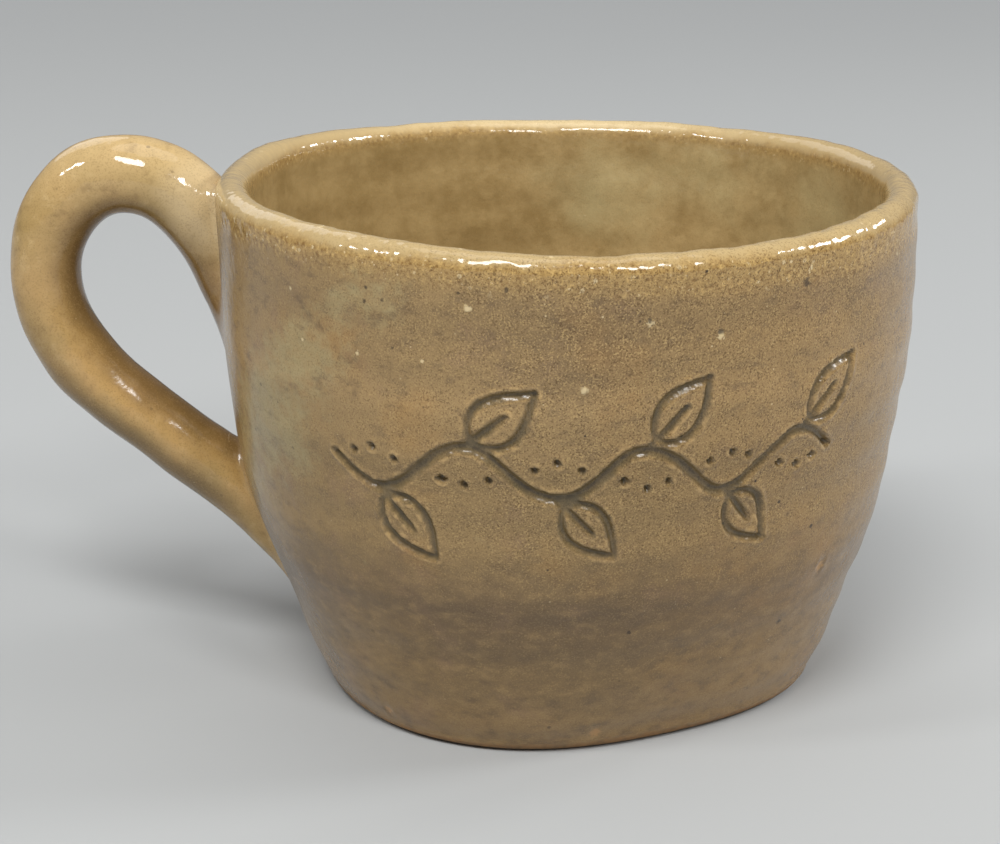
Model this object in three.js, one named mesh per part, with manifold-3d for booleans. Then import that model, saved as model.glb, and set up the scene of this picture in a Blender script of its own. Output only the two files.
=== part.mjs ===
// A small thrown stoneware cup with one rolled coil handle, in millimetres.
// The table is z = 0, the cup turned about the Z axis, and the handle stands off towards -X.
// There are four pieces, as on the potter's bench: the thrown body, the coil, and the soft clay
// worked round each end of the coil when it is luted to the wall.
import * as THREE from "three";
import { mergeVertices } from "three/addons/utils/BufferGeometryUtils.js";
import Module from "manifold-3d";

// The thrown body.
const cupHeight = 70; // table to the crest of the lip
const rimDiameter = 92; // outside, at the lip
const footDiameter = 62; // outside, where the line of the wall meets the table
const wallFullness = 2.34; // 1 is a straight cone, more turns upright sooner
const throwingRingSpacing = 23; // between one finger ridge and the next
const throwingRingDepth = 0.5; // ridge to groove, at the foot
const throwingRingFade = 60; // height over which the rings all but die out
const lowestGroove = 15; // height of the first groove
const lipThickness = 4.4;
const lowerWallThickness = 6; // where the wall grows out of the floor
const floorThickness = 6.5;
const innerCove = 9; // height of the curve between floor and wall, inside
const footBevelHeight = 1.5; // the wiped edge under the wall
const footBevelWidth = 1.8;

// How far the soft body was pressed out of round as it was lifted and dried.
const footOval = 2.17;
const footOvalAngle = THREE.MathUtils.degToRad(12);
const footThreeLobe = 1.45;
const footThreeLobeAngle = THREE.MathUtils.degToRad(10);
const rimOval = 1.37;
const rimOvalAngle = THREE.MathUtils.degToRad(34);
const rimLeanLength = 1.14; // centre of the rim from the centre of the foot, towards the handle
const rimLeanWidth = 1.0; // and towards the front
const lipWave = 0.57; // rise and fall of the crest, twice round
const lipWaveAngle = THREE.MathUtils.degToRad(9);
const lipWaveFade = 4; // how fast the wave dies out down the wall
const joinPress = 1.9; // the wall is pushed back under the upper join
const joinBulgeDepth = 0.65; // and stands out above the lower one
const joinBulgeHeight = 32;
const joinPushSharpness = 12; // how narrow both are

// The coil, whose centreline lies in the XZ plane.
const coilDiameterTop = 10.9; // from the upper join over the top of the loop
const coilDiameterArm = 9.6; // from the loop's furthest point down the arm
const coilTaperStart = 0.15; // share of the centreline at which the coil begins to thin
const coilTaperEnd = 0.5;
const loopRise = 3.9; // top of the coil above the lip
const loopStandOff = 13.8; // loop's highest point to the rim, along X
const loopReach = 11.2; // centre of the loop to its furthest point, along X
const loopDrop = 13.4; // loop's highest centreline point down to its furthest one
const upperJoinDrop = 13.3; // lip's crest down to where the centreline meets the wall
const upperJoinSlope = THREE.MathUtils.degToRad(-65); // its slope there, towards the cup's axis
const upperJoinHold = 5.8; // how long the centreline holds that slope on its way up
const loopTopHold = 7.2; // and runs level from the top of the loop on its way down to the join
const loopSideHold = 16.4; // and hangs straight down from its furthest point
const lowerJoinHeight = 21.5; // table to where the centreline meets the wall again
const lowerJoinSlope = THREE.MathUtils.degToRad(-45);
const lowerJoinHold = 18.6;
const rootDepth = 14; // how far the coil is drawn on into the wall before it is trimmed

// The clay worked into each join.
const luteGap = 0.3; // slip between two pieces
const upperCollarReach = 3; // along the coil, from the wall
const upperCollarSpread = 3; // along the wall, from the coil
const upperTailReach = 7; // and so much further in the open corner under the coil
const upperTailSpread = 6;
const lowerCollarReach = 3;
const lowerCollarSpread = 3;
const lowerTailReach = 4;
const lowerTailSpread = 4;
const collarTailSharpness = 2; // how narrow the tail is
const collarSwellDepth = 1.3; // how far the clay stands out of a plain fillet's corner
const tailSwellDepth = 0.5; // the same along the middle of the tail
const collarBury = 2.5; // blank of the collar inside the wall, before it is trimmed

// Facets.
const bodySegments = 72;
const wallRings = 15;
const lipSteps = 6;
const coveSteps = 4;
const coilSides = 18;
const coilRings = 44;
const collarSides = 28;
const collarSteps = 5;
const weldDistance = 1e-4; // vertices nearer than this are one
const quarterHold = 0.5523; // of its radius, where a cubic curve stands for a quarter of an ellipse
const joinSearch = 0.3; // share of the coil's length, from either end, that holds a join
const joinSearchSteps = 30;

const upAxis = new THREE.Vector3(0, 0, 1);
const rimLean = new THREE.Vector2(-rimLeanLength, -rimLeanWidth);
const handleSide = Math.PI; // the angle about the cup's axis at which the handle stands
const bodyGlaze = { color: "#8c744f", roughness: 0.35, metalness: 0 };
const handleGlaze = { color: "#a9854f", roughness: 0.25, metalness: 0 };

const wasm = await Module();
wasm.setup();

// A closed three.js geometry as a manifold-3d solid.
function solidOf(geometry) {
  const bare = geometry.clone();
  bare.deleteAttribute("normal");
  bare.deleteAttribute("uv");
  const merged = mergeVertices(bare, weldDistance);
  return new wasm.Manifold(
    new wasm.Mesh({
      numProp: 3,
      vertProperties: merged.attributes.position.array,
      triVerts: new Uint32Array(merged.index.array),
    }),
  );
}

// The largest body of a solid as a three.js geometry: a trim can leave crumbs thinner than the slip.
function geometryOf(solid) {
  const largest = solid.decompose().reduce((a, b) => (a.volume() > b.volume() ? a : b));
  const mesh = largest.getMesh();
  const geometry = new THREE.BufferGeometry();
  geometry.setAttribute("position", new THREE.BufferAttribute(mesh.vertProperties, 3));
  geometry.setIndex(new THREE.BufferAttribute(mesh.triVerts, 1));
  const flat = geometry.toNonIndexed();
  flat.computeVertexNormals();
  return flat;
}

// A closed skin over rings of equally many points, with a fan at each end.
function skinOf(rings) {
  const sides = rings[0].length;
  const ends = [rings[0], rings[rings.length - 1]].map((ring) =>
    ring.reduce((sum, p) => sum.add(p), new THREE.Vector3()).divideScalar(sides),
  );
  const positions = [...rings.flat(), ...ends].flatMap((p) => p.toArray());
  const indices = [];
  const firstCentre = rings.length * sides;
  const lastRing = (rings.length - 1) * sides;
  for (let j = 0; j < sides; j++) {
    const next = (j + 1) % sides;
    indices.push(firstCentre, next, j);
    indices.push(firstCentre + 1, lastRing + j, lastRing + next);
    for (let i = 0; i + 1 < rings.length; i++) {
      const low = i * sides;
      const high = low + sides;
      indices.push(low + j, low + next, high + next);
      indices.push(low + j, high + next, high + j);
    }
  }
  const geometry = new THREE.BufferGeometry();
  geometry.setAttribute("position", new THREE.Float32BufferAttribute(positions, 3));
  geometry.setIndex(indices);
  return geometry;
}

// Outside radius of the wall before it was pressed out of round.
function wallRadius(height) {
  const up = THREE.MathUtils.clamp(height / cupHeight, 0, 1);
  const bowl = THREE.MathUtils.lerp(footDiameter, rimDiameter, 1 - (1 - up) ** wallFullness) / 2;
  const fade = Math.exp(-Math.max(height - lowestGroove, 0) / throwingRingFade);
  const turn = (2 * Math.PI * (height - lowestGroove)) / throwingRingSpacing;
  return bowl - (throwingRingDepth / 2) * fade * Math.cos(turn);
}

// Wall thickness, tapering from the floor to the lip.
function wallThickness(height) {
  const share = THREE.MathUtils.clamp((height - floorThickness) / (cupHeight - floorThickness), 0, 1);
  return THREE.MathUtils.lerp(lowerWallThickness, lipThickness, share);
}

// How far the wall stands outside its turned radius at an angle about the axis.
function outOfRound(angle, up) {
  const foot =
    footOval * Math.cos(2 * (angle - footOvalAngle)) +
    footThreeLobe * Math.cos(3 * (angle - footThreeLobeAngle));
  const rim = rimOval * Math.cos(2 * (angle - rimOvalAngle));
  return THREE.MathUtils.lerp(foot, rim, up) + joinPush(angle, up * cupHeight);
}

// How far the wall gave way when the handle was pressed on.
function joinPush(angle, height) {
  const lobe = Math.max(0, Math.cos(angle - handleSide)) ** joinPushSharpness;
  const out = joinBulgeDepth * THREE.MathUtils.smoothstep(height, lowerJoinHeight / 2, joinBulgeHeight);
  const back = joinPress * THREE.MathUtils.smoothstep(height, joinBulgeHeight, cupHeight - upperJoinDrop);
  return lobe * (out - back);
}

// Where a point of the turned body went when the soft body was pressed out of round.
function pressed(point) {
  const up = THREE.MathUtils.clamp(point.z / cupHeight, 0, 1);
  const angle = Math.atan2(point.y, point.x);
  const stretch = 1 + outOfRound(angle, up) / wallRadius(point.z);
  const level = lipWave * Math.cos(2 * (angle - lipWaveAngle)) * up ** lipWaveFade;
  return new THREE.Vector3(
    point.x * stretch + rimLean.x * up,
    point.y * stretch + rimLean.y * up,
    point.z + level,
  );
}

// A point on the pressed wall's outside at an angle and a height.
function onWall(angle, height) {
  const radius = wallRadius(height);
  return pressed(new THREE.Vector3(radius * Math.cos(angle), radius * Math.sin(angle), height));
}

// How far a point lies outside the pressed wall, measured level.
function standOff(point) {
  const up = THREE.MathUtils.clamp(point.z / cupHeight, 0, 1);
  const x = point.x - rimLean.x * up;
  const y = point.y - rimLean.y * up;
  return Math.hypot(x, y) - wallRadius(point.z) - outOfRound(Math.atan2(y, x), up);
}

// Turns a half profile about the cup's axis and presses it out of round.
function turnedAndPressed(profile) {
  const geometry = new THREE.LatheGeometry(profile, bodySegments).rotateX(Math.PI / 2);
  const positions = geometry.getAttribute("position");
  const point = new THREE.Vector3();
  for (let i = 0; i < positions.count; i++) {
    point.fromBufferAttribute(positions, i);
    positions.setXYZ(i, ...pressed(point).toArray());
  }
  return geometry;
}

// The body's half profile: underside, bevel, wall, lip, inside wall, cove and floor.
function bodyProfile() {
  const lipRadius = lipThickness / 2;
  const lipHeight = cupHeight - lipRadius;
  const lipCentre = wallRadius(lipHeight) - lipRadius;
  const coveTop = floorThickness + innerCove;
  const innerRadius = (height) => wallRadius(height) - wallThickness(height);
  const points = [
    new THREE.Vector2(0, 0),
    new THREE.Vector2(wallRadius(0) - footBevelWidth, 0),
  ];
  for (let i = 0; i < wallRings; i++) {
    const height = THREE.MathUtils.lerp(footBevelHeight, lipHeight, i / wallRings);
    points.push(new THREE.Vector2(wallRadius(height), height));
  }
  for (let i = 0; i <= lipSteps; i++) {
    const turn = (Math.PI * i) / lipSteps;
    points.push(
      new THREE.Vector2(lipCentre + lipRadius * Math.cos(turn), lipHeight + lipRadius * Math.sin(turn)),
    );
  }
  for (let i = 1; i < wallRings; i++) {
    const height = THREE.MathUtils.lerp(lipHeight, coveTop, i / wallRings);
    points.push(new THREE.Vector2(innerRadius(height), height));
  }
  const cove = new THREE.QuadraticBezierCurve(
    new THREE.Vector2(innerRadius(coveTop), coveTop),
    new THREE.Vector2(innerRadius(floorThickness), floorThickness),
    new THREE.Vector2(innerRadius(coveTop) - innerCove, floorThickness),
  );
  points.push(...cove.getPoints(coveSteps), new THREE.Vector2(0, floorThickness));
  return points;
}

// The space the wall takes up, grown by the slip and closed over, for trimming what is luted to it.
function wallBlank() {
  const above = cupHeight + loopRise + coilDiameterTop;
  const below = -rootDepth;
  const points = [new THREE.Vector2(0, below), new THREE.Vector2(wallRadius(0) + luteGap, below)];
  for (let i = 0; i <= wallRings; i++) {
    const height = (cupHeight * i) / wallRings;
    points.push(new THREE.Vector2(wallRadius(height) + luteGap, height));
  }
  points.push(new THREE.Vector2(wallRadius(cupHeight) + luteGap, above), new THREE.Vector2(0, above));
  return solidOf(turnedAndPressed(points));
}

const upperJoin = onWall(handleSide, cupHeight - upperJoinDrop);
const lowerJoin = onWall(handleSide, lowerJoinHeight);

// The coil's centreline, from inside the wall under the lip, over the loop and back into the wall:
// two straight roots, a quarter of an ellipse round the loop, and a smooth bend on each side of it.
function coilCentreline() {
  const inPlane = (x, z) => new THREE.Vector3(x, 0, z);
  const upper = inPlane(upperJoin.x, upperJoin.z);
  const lower = inPlane(lowerJoin.x, lowerJoin.z);
  const top = inPlane(-(rimDiameter / 2 + loopStandOff), cupHeight + loopRise - coilDiameterTop / 2);
  const furthest = inPlane(top.x - loopReach, top.z - loopDrop);
  const inwards = (slope) => inPlane(Math.cos(slope), Math.sin(slope));
  const from = (point, direction, length) => point.clone().addScaledVector(direction, length);
  const [level, down] = [inPlane(1, 0), inPlane(0, -1)];

  const path = new THREE.CurvePath();
  path.add(new THREE.LineCurve3(from(upper, inwards(upperJoinSlope), rootDepth), upper));
  const upperHold = from(upper, inwards(upperJoinSlope), -upperJoinHold);
  path.add(new THREE.CubicBezierCurve3(upper, upperHold, from(top, level, loopTopHold), top));
  const ellipseTop = from(top, level, -quarterHold * loopReach);
  const ellipseSide = from(furthest, down, -quarterHold * loopDrop);
  path.add(new THREE.CubicBezierCurve3(top, ellipseTop, ellipseSide, furthest));
  const lowerHold = from(lower, inwards(lowerJoinSlope), -lowerJoinHold);
  path.add(new THREE.CubicBezierCurve3(furthest, from(furthest, down, loopSideHold), lowerHold, lower));
  path.add(new THREE.LineCurve3(lower, from(lower, inwards(lowerJoinSlope), rootDepth)));
  return path;
}

const centreline = coilCentreline();
const centrelineLength = centreline.getLength();

// Centre, outward direction and sideways direction of the coil at a share of its length.
function coilFrame(share) {
  const within = THREE.MathUtils.clamp(share, 0, 1);
  const centre = centreline.getPoint(within);
  const side = new THREE.Vector3(0, 1, 0);
  const out = new THREE.Vector3().crossVectors(side, centreline.getTangent(within)).normalize();
  return { centre, out, side };
}

function coilRadius(share) {
  const thinned = THREE.MathUtils.smoothstep(share, coilTaperStart, coilTaperEnd);
  return THREE.MathUtils.lerp(coilDiameterTop, coilDiameterArm, thinned) / 2;
}

// A point on the coil's skin, grown by a gap.
function onCoil(share, turn, grow = 0) {
  const { centre, out, side } = coilFrame(share);
  const radius = coilRadius(share) + grow;
  return centre
    .clone()
    .addScaledVector(out, radius * Math.cos(turn))
    .addScaledVector(side, radius * Math.sin(turn));
}

function coilSolid(grow = 0) {
  const rings = [];
  for (let i = 0; i <= coilRings; i++) {
    const ring = [];
    for (let j = 0; j < coilSides; j++) {
      ring.push(onCoil(i / coilRings, (2 * Math.PI * j) / coilSides, grow));
    }
    rings.push(ring);
  }
  return solidOf(skinOf(rings));
}

// Where one line of the coil's skin meets the wall, as a share of the coil's length.
function wallShare(turn, inside, outside) {
  let low = inside;
  let high = outside;
  for (let i = 0; i < joinSearchSteps; i++) {
    const middle = (low + high) / 2;
    if (standOff(onCoil(middle, turn)) < 0) low = middle;
    else high = middle;
  }
  return high;
}

// The clay worked round one end of the coil: from each line of the coil's skin it runs in a smooth
// fillet to the wall, and it spreads furthest in a tail on the side where the corner is open.
function collarBlank({ inside, outside, reach, spread, tailReach, tailSpread, tailTurn }) {
  const towardsLoop = Math.sign(outside - inside);
  const rings = Array.from({ length: collarSteps + 2 }, () => []);
  const joinCentre = coilFrame(wallShare(tailTurn + Math.PI / 2, inside, outside)).centre;
  for (let j = 0; j < collarSides; j++) {
    const turn = (2 * Math.PI * j) / collarSides;
    const corner = wallShare(turn, inside, outside);
    const cornerPoint = onCoil(corner, turn);
    const lobe = Math.max(0, Math.cos(turn - tailTurn)) ** collarTailSharpness;
    const along = reach + tailReach * lobe;
    const down = spread + tailSpread * lobe;
    const start = onCoil(corner + (towardsLoop * along) / centrelineLength, turn);
    const away = cornerPoint.clone().sub(joinCentre);
    const angle = Math.atan2(cornerPoint.y, cornerPoint.x);
    const sideways = new THREE.Vector3(-Math.sin(angle), Math.cos(angle), 0);
    const direction = new THREE.Vector2(away.dot(sideways), away.dot(upAxis)).normalize();
    const height = Math.min(cornerPoint.z + direction.y * down, cupHeight - lipThickness / 2);
    const end = onWall(angle + (direction.x * down) / wallRadius(height), height);
    const wallOut = new THREE.Vector3(Math.cos(angle), Math.sin(angle), 0);
    const coilOut = cornerPoint.clone().sub(coilFrame(corner).centre).normalize();
    const swell = THREE.MathUtils.lerp(collarSwellDepth, tailSwellDepth, lobe);
    const full = cornerPoint.clone().addScaledVector(coilOut.add(wallOut).normalize(), swell);
    const fillet = new THREE.QuadraticBezierCurve3(start, full, end);
    for (let i = 0; i <= collarSteps; i++) rings[i].push(fillet.getPoint(i / collarSteps));
    rings[collarSteps + 1].push(end.clone().addScaledVector(wallOut, -collarBury));
  }
  return solidOf(skinOf(towardsLoop > 0 ? rings.reverse() : rings));
}

function namedMesh(name, geometry, glaze) {
  const mesh = new THREE.Mesh(geometry, new THREE.MeshStandardMaterial(glaze));
  mesh.name = name;
  return mesh;
}

const blank = wallBlank();
const coil = coilSolid();
const grownCoil = coilSolid(luteGap);

const upperCollar = collarBlank({
  inside: 0,
  outside: joinSearch,
  reach: upperCollarReach,
  spread: upperCollarSpread,
  tailReach: upperTailReach,
  tailSpread: upperTailSpread,
  tailTurn: Math.PI,
});
const lowerCollar = collarBlank({
  inside: 1,
  outside: 1 - joinSearch,
  reach: lowerCollarReach,
  spread: lowerCollarSpread,
  tailReach: lowerTailReach,
  tailSpread: lowerTailSpread,
  tailTurn: 0,
});

const luted = (clay) => geometryOf(clay.subtract(blank).subtract(grownCoil));

const cup = new THREE.Group();
cup.add(
  namedMesh("thrown_body", turnedAndPressed(bodyProfile()), bodyGlaze),
  namedMesh("coil_handle", geometryOf(coil.subtract(blank)), handleGlaze),
  namedMesh("upper_join_clay", luted(upperCollar), handleGlaze),
  namedMesh("lower_join_clay", luted(lowerCollar), handleGlaze),
);

export default cup;
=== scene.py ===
"""Looks of a small thrown stoneware cup with one rolled coil handle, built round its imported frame.

Shapes are in metres, and the patterns of the glaze in millimetres. The table is z = 0, the cup was
turned about the Z axis, the handle stands off towards -X and the decorated side faces -Y.
"""

import logging
import math
from abc import ABC, abstractmethod
from collections.abc import Iterator
from contextlib import contextmanager
from dataclasses import dataclass, field
from enum import Enum
from typing import Any

import bpy
import numpy as np
from mathutils import Matrix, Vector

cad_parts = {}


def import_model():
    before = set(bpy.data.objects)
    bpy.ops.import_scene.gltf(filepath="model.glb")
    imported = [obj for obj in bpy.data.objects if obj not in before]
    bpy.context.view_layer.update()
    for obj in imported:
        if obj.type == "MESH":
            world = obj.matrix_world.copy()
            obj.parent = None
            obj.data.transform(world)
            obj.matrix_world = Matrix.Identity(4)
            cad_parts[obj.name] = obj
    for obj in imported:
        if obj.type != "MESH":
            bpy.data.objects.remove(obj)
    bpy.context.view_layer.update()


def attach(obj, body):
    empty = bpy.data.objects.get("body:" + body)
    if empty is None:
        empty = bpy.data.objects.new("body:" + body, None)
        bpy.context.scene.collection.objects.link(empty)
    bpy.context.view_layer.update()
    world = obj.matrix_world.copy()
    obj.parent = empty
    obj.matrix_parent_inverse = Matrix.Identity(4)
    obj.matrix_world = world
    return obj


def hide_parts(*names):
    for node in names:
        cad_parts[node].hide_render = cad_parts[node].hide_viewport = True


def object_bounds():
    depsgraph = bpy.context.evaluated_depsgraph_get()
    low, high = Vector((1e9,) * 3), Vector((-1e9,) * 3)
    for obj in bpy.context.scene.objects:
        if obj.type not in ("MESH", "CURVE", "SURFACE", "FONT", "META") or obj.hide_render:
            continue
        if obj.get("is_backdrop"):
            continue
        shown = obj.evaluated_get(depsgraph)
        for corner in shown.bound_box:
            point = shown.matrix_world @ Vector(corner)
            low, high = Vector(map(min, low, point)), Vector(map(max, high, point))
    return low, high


LOG = logging.getLogger("cup")

MM = 0.001
TURN = 2 * math.pi
FRONT = -math.pi / 2  # the angle about the cup's axis that faces the camera
HANDLE_SIDE = math.pi
ROOT = "root"
WELD = 1e-6
SHORTEST = 1e-12  # a vector is taken to be at least this long

Array = np.ndarray
Colour = tuple[float, float, float]  # shares of red, green and blue light
Triple = tuple[float, float, float]
Span = tuple[float, float]  # where something starts to show, and where it shows fully


class Piece(Enum):
    """The pieces of the cup, each with the CAD node that it stands for."""

    BODY = "thrown_body"
    HANDLE = "coil_handle"
    UPPER_JOIN = "upper_join_clay"
    LOWER_JOIN = "lower_join_clay"


class Slot(Enum):
    """The material slots, whose names the finishes' materials take."""

    BODY = "body_glaze"
    HANDLE = "handle_glaze"
    JOIN = "join_glaze"


def smoothstep(value: Array | float, low: float, high: float) -> Array:
    """A smooth rise from 0 at low to 1 at high."""
    share = np.clip((np.asarray(value, float) - low) / (high - low), 0, 1)
    return share * share * (3 - 2 * share)


def blend(start: Array | float, end: Array | float, share: Array | float) -> Array:
    """The value that lies a share of the way from start to end."""
    return start + (end - start) * share


def cubic(start: Array, leave: Array, arrive: Array, end: Array, share: Array) -> Array:
    """Points on the cubic curve with those four points, at shares of its way."""
    held = 3 * share * (1 - share) ** 2 * leave + 3 * share**2 * (1 - share) * arrive
    return (1 - share) ** 3 * start + held + share**3 * end


def around(angle: Array, centre: float) -> Array:
    """Angles measured from a centre, from minus half a turn to half a turn."""
    return (angle - centre + math.pi) % TURN - math.pi


def unit(vectors: Array) -> Array:
    """The vectors at length 1."""
    return vectors / np.maximum(np.linalg.norm(vectors, axis=-1, keepdims=True), SHORTEST)


@dataclass(frozen=True)
class Ripple:
    """Smooth seeded unevenness: plane waves of about one length, in random directions."""

    seed: int
    length: float  # the middle wavelength
    depth: float = 1.0  # the root of its mean square
    count: int = 30
    shortest: float = 0.75  # of the middle wavelength
    longest: float = 1.5

    def at(self, points: Array) -> Array:
        """The unevenness at points.

        Args:
            points: Rows of x, y and z.

        Returns:
            A number for each point, mostly within twice the depth.
        """
        draw = np.random.default_rng(self.seed)
        directions = unit(draw.normal(size=(self.count, 3)))
        lengths = self.length * draw.uniform(self.shortest, self.longest, self.count)
        waves = directions * (TURN / lengths)[:, None]
        phases = draw.uniform(0, TURN, self.count)
        return self.depth * math.sqrt(2 / self.count) * np.cos(points @ waves.T + phases).sum(1)


@dataclass(frozen=True)
class Clay:
    """The unevenness that all the cup's surfaces share, so that its pieces run into each other."""

    dents: Ripple = Ripple(seed=11, length=24 * MM, depth=0.08 * MM)  # left by fingers
    lumps: Ripple = Ripple(seed=12, length=8 * MM, depth=0.03 * MM)  # under the glaze

    def unevenness(self, points: Array) -> Array:
        """How far the clay stands out of its smooth form at points."""
        return self.dents.at(points) + self.lumps.at(points)


class MeshTools:
    """Small steps on Blender objects that the pieces share."""

    @staticmethod
    def pick(obj: bpy.types.Object) -> None:
        """Deselects everything else and makes the object the active one.

        Args:
            obj: The object.
        """
        bpy.ops.object.select_all(action="DESELECT")
        obj.select_set(True)
        bpy.context.view_layer.objects.active = obj

    @staticmethod
    @contextmanager
    def editing(obj: bpy.types.Object) -> Iterator[None]:
        """Holds the object in edit mode with all of it selected.

        Args:
            obj: The object.

        Yields:
            Nothing.
        """
        MeshTools.pick(obj)
        bpy.ops.object.mode_set(mode="EDIT")
        bpy.ops.mesh.select_all(action="SELECT")
        yield
        bpy.ops.object.mode_set(mode="OBJECT")

    @staticmethod
    def read(rows: Any, name: str) -> Array:
        """Reads one vector of every element of a mesh.

        Args:
            rows: The mesh's vertices or vertex normals.
            name: What the vector is called there.

        Returns:
            Rows of x, y and z.
        """
        flat = np.empty(len(rows) * 3)
        rows.foreach_get(name, flat)
        return flat.reshape(-1, 3)

    @staticmethod
    def points(obj: bpy.types.Object) -> Array:
        """The places of the object's vertices."""
        return MeshTools.read(obj.data.vertices, "co")

    @staticmethod
    def move(obj: bpy.types.Object, points: Array) -> None:
        """Puts the object's vertices at points."""
        obj.data.vertices.foreach_set("co", points.ravel())
        obj.data.update()

    @staticmethod
    def raise_skin(obj: bpy.types.Object, heights: Array) -> None:
        """Moves each of the object's vertices out of its skin by its height."""
        normals = MeshTools.read(obj.data.vertex_normals, "vector")
        MeshTools.move(obj, MeshTools.points(obj) + normals * heights[:, None])

    @staticmethod
    def store(obj: bpy.types.Object, name: str, values: Array) -> None:
        """Keeps one number a vertex as an attribute that a material can read."""
        attribute = obj.data.attributes.new(name, "FLOAT", "POINT")
        attribute.data.foreach_set("value", np.asarray(values, np.float32))

    @staticmethod
    def line(name: str, points: Array, radii: Array | None = None, sides: int = 0) -> bpy.types.Object:
        """Draws a line, or a round coil along it, and makes it a mesh.

        Args:
            name: The object's name.
            points: The line's points.
            radii: The coil's radius at each point, if it is a coil.
            sides: The coil's number of sides.

        Returns:
            The mesh object.
        """
        curve = bpy.data.curves.new(name, "CURVE")
        curve.dimensions = "3D"
        spline = curve.splines.new("POLY")
        spline.points.add(len(points) - 1)
        spline.points.foreach_set("co", np.c_[points, np.ones(len(points))].ravel())
        if radii is not None:
            curve.bevel_depth = 1
            curve.bevel_resolution = sides // 2 - 2
            curve.use_fill_caps = True
            spline.points.foreach_set("radius", radii)
        obj = bpy.data.objects.new(name, curve)
        bpy.context.scene.collection.objects.link(obj)
        MeshTools.pick(obj)
        bpy.ops.object.convert(target="MESH")
        return obj

    @staticmethod
    def close(obj: bpy.types.Object) -> None:
        """Merges the object's doubles and turns its faces outwards.

        Args:
            obj: The object.
        """
        with MeshTools.editing(obj):
            bpy.ops.mesh.remove_doubles(threshold=WELD)
            bpy.ops.mesh.normals_make_consistent(inside=False)

    @staticmethod
    def spin(obj: bpy.types.Object, turns: list[tuple[float, int]]) -> None:
        """Turns a half profile about the Z axis into a closed body.

        Args:
            obj: The profile, whose two ends lie on the axis.
            turns: Each stretch of the full turn, as an angle and its number of steps.
        """
        with MeshTools.editing(obj):
            for angle, steps in turns:
                bpy.ops.mesh.spin(steps=steps, angle=angle, center=(0, 0, 0), axis=(0, 0, 1))
        MeshTools.close(obj)

    @staticmethod
    def finish(obj: bpy.types.Object, piece: Piece, slot: Slot, material: bpy.types.Material) -> None:
        """Smooths and dresses a finished piece and puts it in place of its CAD node.

        Args:
            obj: The piece's object.
            piece: Which piece it is.
            slot: The slot that its finish stands for. Not used.
            material: Its glaze.
        """
        MeshTools.pick(obj)
        bpy.ops.object.shade_smooth()
        obj.data.materials.clear()
        obj.data.materials.append(material)
        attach(obj, ROOT)
        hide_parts(piece.value)
        LOG.info("%s: %d faces for %s", obj.name, len(obj.data.polygons), piece.value)


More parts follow.
